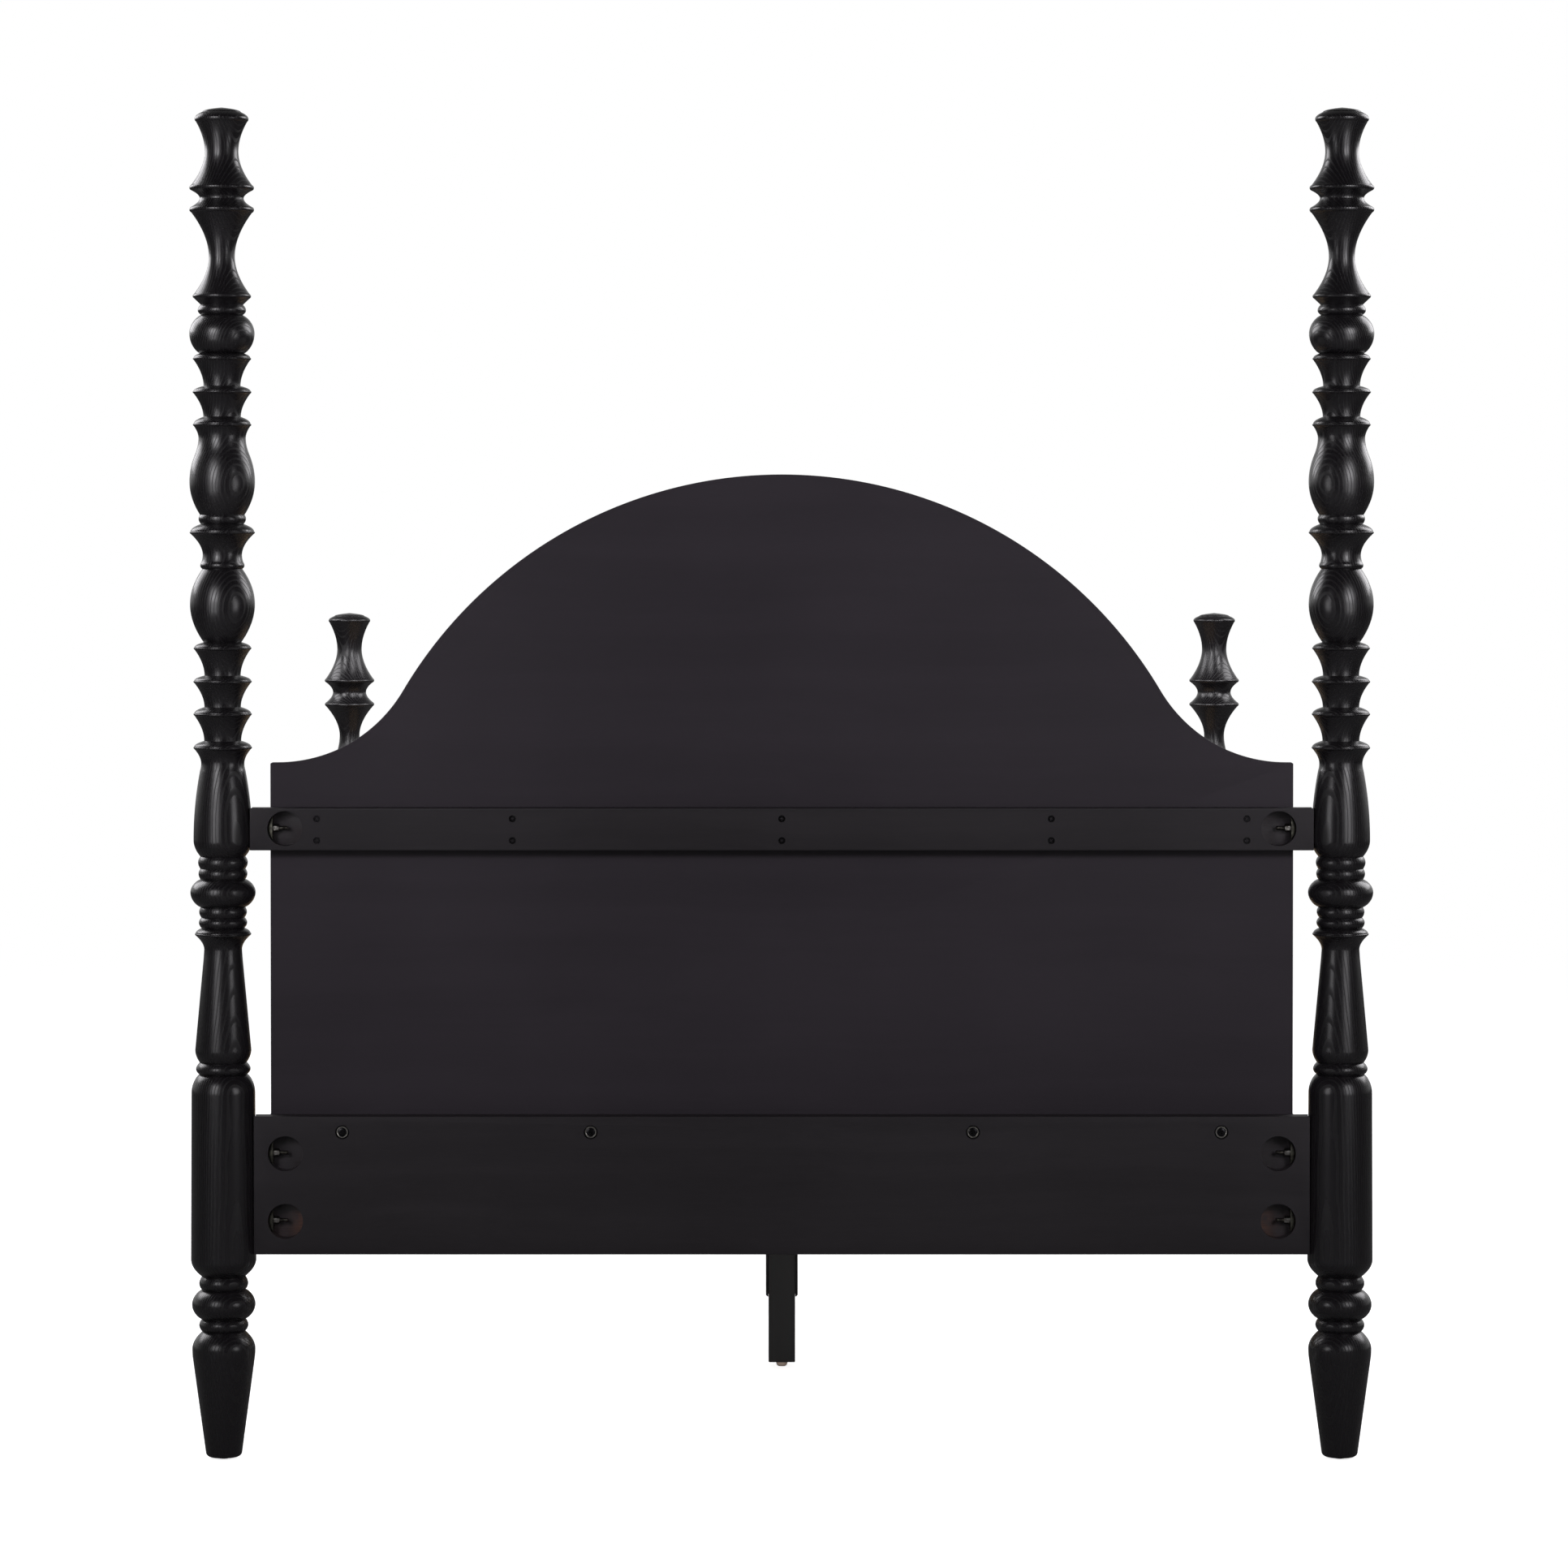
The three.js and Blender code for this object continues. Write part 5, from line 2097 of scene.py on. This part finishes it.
    def build_glide(self, end: str) -> None:
        """Makes one levelling glide with its threaded stud.

        Args:
            end: which leg it is under.
        """
        node = f"leg_glide_{end}"
        low, high = corners(node)
        middle = (low + high) / 2
        r, height = (high.x - low.x) / 2, self.glide_height
        turns = [0.35, 0.65, 0.95, 1.25]
        dome = [(0.0, 0.42 * r)]
        dome += [(5.4 * MM * (1 - math.cos(a)), r * (0.42 + 0.57 * math.sin(a))) for a in turns]
        dome += [(5.6 * MM, 0.99 * r), (7.6 * MM, 0.99 * r), (8.2 * MM, 0.95 * r), (height, 0.88 * r)]
        foot = turned_mesh(dome, 40)
        pitch, stud = self.thread_pitch, []
        z = height - 0.5 * MM
        while z < high.z - pitch:
            stud += [(z, 3.3 * MM), (z + 0.4 * pitch, 4 * MM), (z + 0.6 * pitch, 4 * MM)]
            z += pitch
        stud += [(high.z - 0.5 * MM, 3.3 * MM), (high.z, 2.8 * MM)]
        mesh = joined(node, [foot, turned_mesh(stud, 20)])
        mesh.transform(Matrix.Translation((middle.x, middle.y, 0.0)))
        tan, body = self.finishes.nylon, f"{end}_glide"
        add_piece(f"finished_{node}", mesh, tan, [node], body, sharp_over=30.0)


# ---- Studio ----


@dataclass(frozen=True)
class Softbox:
    """One rectangular studio light."""

    name: str
    place: tuple[float, float, float]
    aim: tuple[float, float, float]
    size: tuple[float, float]
    watts: float
    spread: float = 180.0
    in_gloss: bool = True
    in_diffuse: bool = True
    tint: Colour = (0.985, 0.97, 1.0)

    def build(self) -> None:
        """Makes the light."""
        data = bpy.data.lights.new(self.name, "AREA")
        data.shape = "RECTANGLE"
        data.size, data.size_y = self.size
        data.energy = self.watts
        data.color = self.tint
        data.spread = math.radians(self.spread)
        light = bpy.data.objects.new(self.name, data)
        bpy.context.collection.objects.link(light)
        light.location = self.place
        light.rotation_euler = (Vector(self.aim) - Vector(self.place)).to_track_quat("-Z", "Y").to_euler()
        light.visible_camera = False
        light.visible_glossy = self.in_gloss
        light.visible_diffuse = self.in_diffuse


@dataclass
class Studio:
    """The floor, the lights, the sky and the camera."""

    head_y: float
    distance: float = 7.22
    height: float = 1.34
    tilt: float = 1.0
    lens: float = 116.5
    shift: tuple[float, float] = (0.0014, -0.1125)
    floor_radius: float = 60.0
    head_sky: float = 0.075
    foot_sky: float = 0.75
    sky_fade: tuple[float, float] = (-0.35, 0.8)
    ceiling: float = 0.2
    ceiling_fade: tuple[float, float] = (0.2, 0.6)

    def build_camera(self) -> None:
        """Makes the camera, straight behind the headboard."""
        data = bpy.data.cameras.new("camera")
        data.sensor_width = 36.0
        data.lens = self.lens
        data.shift_x, data.shift_y = self.shift
        camera = bpy.data.objects.new("camera", data)
        bpy.context.collection.objects.link(camera)
        camera.location = (0.0, self.head_y - self.distance, self.height)
        camera.rotation_euler = (math.radians(90.0 - self.tilt), 0.0, 0.0)
        bpy.context.scene.camera = camera

    def build_floor(self) -> None:
        """Makes the plain floor."""
        r = self.floor_radius
        mesh = bpy.data.meshes.new("floor")
        mesh.from_pydata([(x, y, 0.0) for x, y in ring_points(r, 64)], [], [range(64)])
        mesh.materials.append(StudioFloor().build())
        new_object("floor", mesh)

    def build_sky(self) -> None:
        """Makes a surround that looks white, and lights the bed more from the foot than from the head."""
        world = bpy.data.worlds.new("studio")
        world.use_nodes = True
        s = ShaderNodes(world.node_tree)
        _, y, z = s.parts(s.node("ShaderNodeTexCoord").outputs["Generated"])
        ramp = s.window(y, *self.sky_fade, self.head_sky, self.foot_sky)
        lit = s.times(ramp, s.window(z, *self.ceiling_fade, 1.0, self.ceiling))
        camera_ray = s.node("ShaderNodeLightPath").outputs["Is Camera Ray"]
        strength = s.node("ShaderNodeMix", camera_ray)
        s.feed(strength.inputs[2], lit)
        s.feed(strength.inputs[3], 1.0)
        background = s.tree.nodes["Background"]
        s.feed(background.inputs["Strength"], strength.outputs[0])
        s.feed(background.inputs["Color"], (1.0, 1.0, 1.0))
        bpy.context.scene.world = world

    def softboxes(self) -> list[Softbox]:
        """Lists the lights: five on each side, and one each over the foot, at the leg, low down and overhead.

        Returns:
            The softboxes.
        """
        y = self.head_y
        matt, glossy = {"in_gloss": False}, {"in_diffuse": False}
        boxes = []
        for name, side in SIDES.items():
            low, low_aim = (side * 1.62, y - 1.75, 1.05), (side * 0.6, y, 0.9)
            high, high_aim = (side * 1.62, y - 1.75, 2.0), (side * 0.79, y, 1.65)
            front, front_aim = (side * 1.9, y - 2.8, 1.9), (side * 0.4, y, 1.5)
            wing, wing_aim = (side * 3.2, 1.0, 3.0), (0.0, y, 1.4)
            foot, foot_aim = (side * 1.67, -0.2, 1.9), (side * 0.79, -y, 1.0)
            boxes += [
                Softbox(f"{name}_low_box", low, low_aim, (1.0, 1.0), 9.5, **glossy),
                Softbox(f"{name}_high_box", high, high_aim, (1.0, 1.0), 3.0, 60.0, **glossy),
                Softbox(f"{name}_front_box", front, front_aim, (0.6, 0.6), 56.0, **matt),
                Softbox(f"{name}_wing_box", wing, wing_aim, (2.4, 2.4), 92.0, **glossy),
                Softbox(f"{name}_foot_box", foot, foot_aim, (0.6, 1.2), 7.5, 120.0),
            ]
        return boxes + [
            Softbox("foot_box", (0.0, -0.1, 1.9), (0.0, -y, 1.0), (1.0, 1.2), 10.0, 120.0),
            Softbox("leg_box", (0.0, y + 0.12, 0.15), (0.0, 0.0, 0.12), (0.5, 0.2), 1.8, **matt),
            Softbox("fill_box", (0.0, y - 4.0, 0.35), (0.0, y, 0.3), (3.0, 0.6), 8.0, **matt),
            Softbox("overhead_box", (0.0, 1.9, 4.6), (0.0, 1.0, 0.0), (6.0, 5.0), 75.0, **matt),
        ]

    def build(self) -> None:
        """Makes the whole studio."""
        self.build_camera()
        self.build_floor()
        self.build_sky()
        for softbox in self.softboxes():
            softbox.build()
        bpy.context.scene.view_settings.view_transform = "Standard"


def main() -> None:
    """Builds the bed and the studio."""
    logging.basicConfig(level=logging.INFO, format="%(name)s %(message)s")
    low, high = corners("foot_post_right")
    post = (low + high) / 2
    slats = sorted(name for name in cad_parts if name.startswith("slat_") and name[5:].isdigit())
    slat_y = [sum(corner[1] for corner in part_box(name)) / 2 for name in slats]
    pitch = (slat_y[-1] - slat_y[0]) / (len(slats) - 1)

    Studio(head_y=-post.y).build()
    finishes = Finishes.make(post.x, post.y, pitch, slat_y[0])
    placer = Placer()
    hardware = Hardware(finishes, placer)
    rods = hardware.rods(post.x, post.y)
    TurnedPosts(finishes, Lathe(), placer).build()
    rails = Rails(finishes, hardware, post.x, post.y)
    Headboard(finishes, hardware, rails).build(rods)
    rails.build_bed_rails(rods)
    hardware.connectors(rods)
    SlatDeck(finishes, hardware, Row(), len(slats)).build()
    CentreLegs(finishes, hardware).build()


if __name__ == "__main__":
    main()
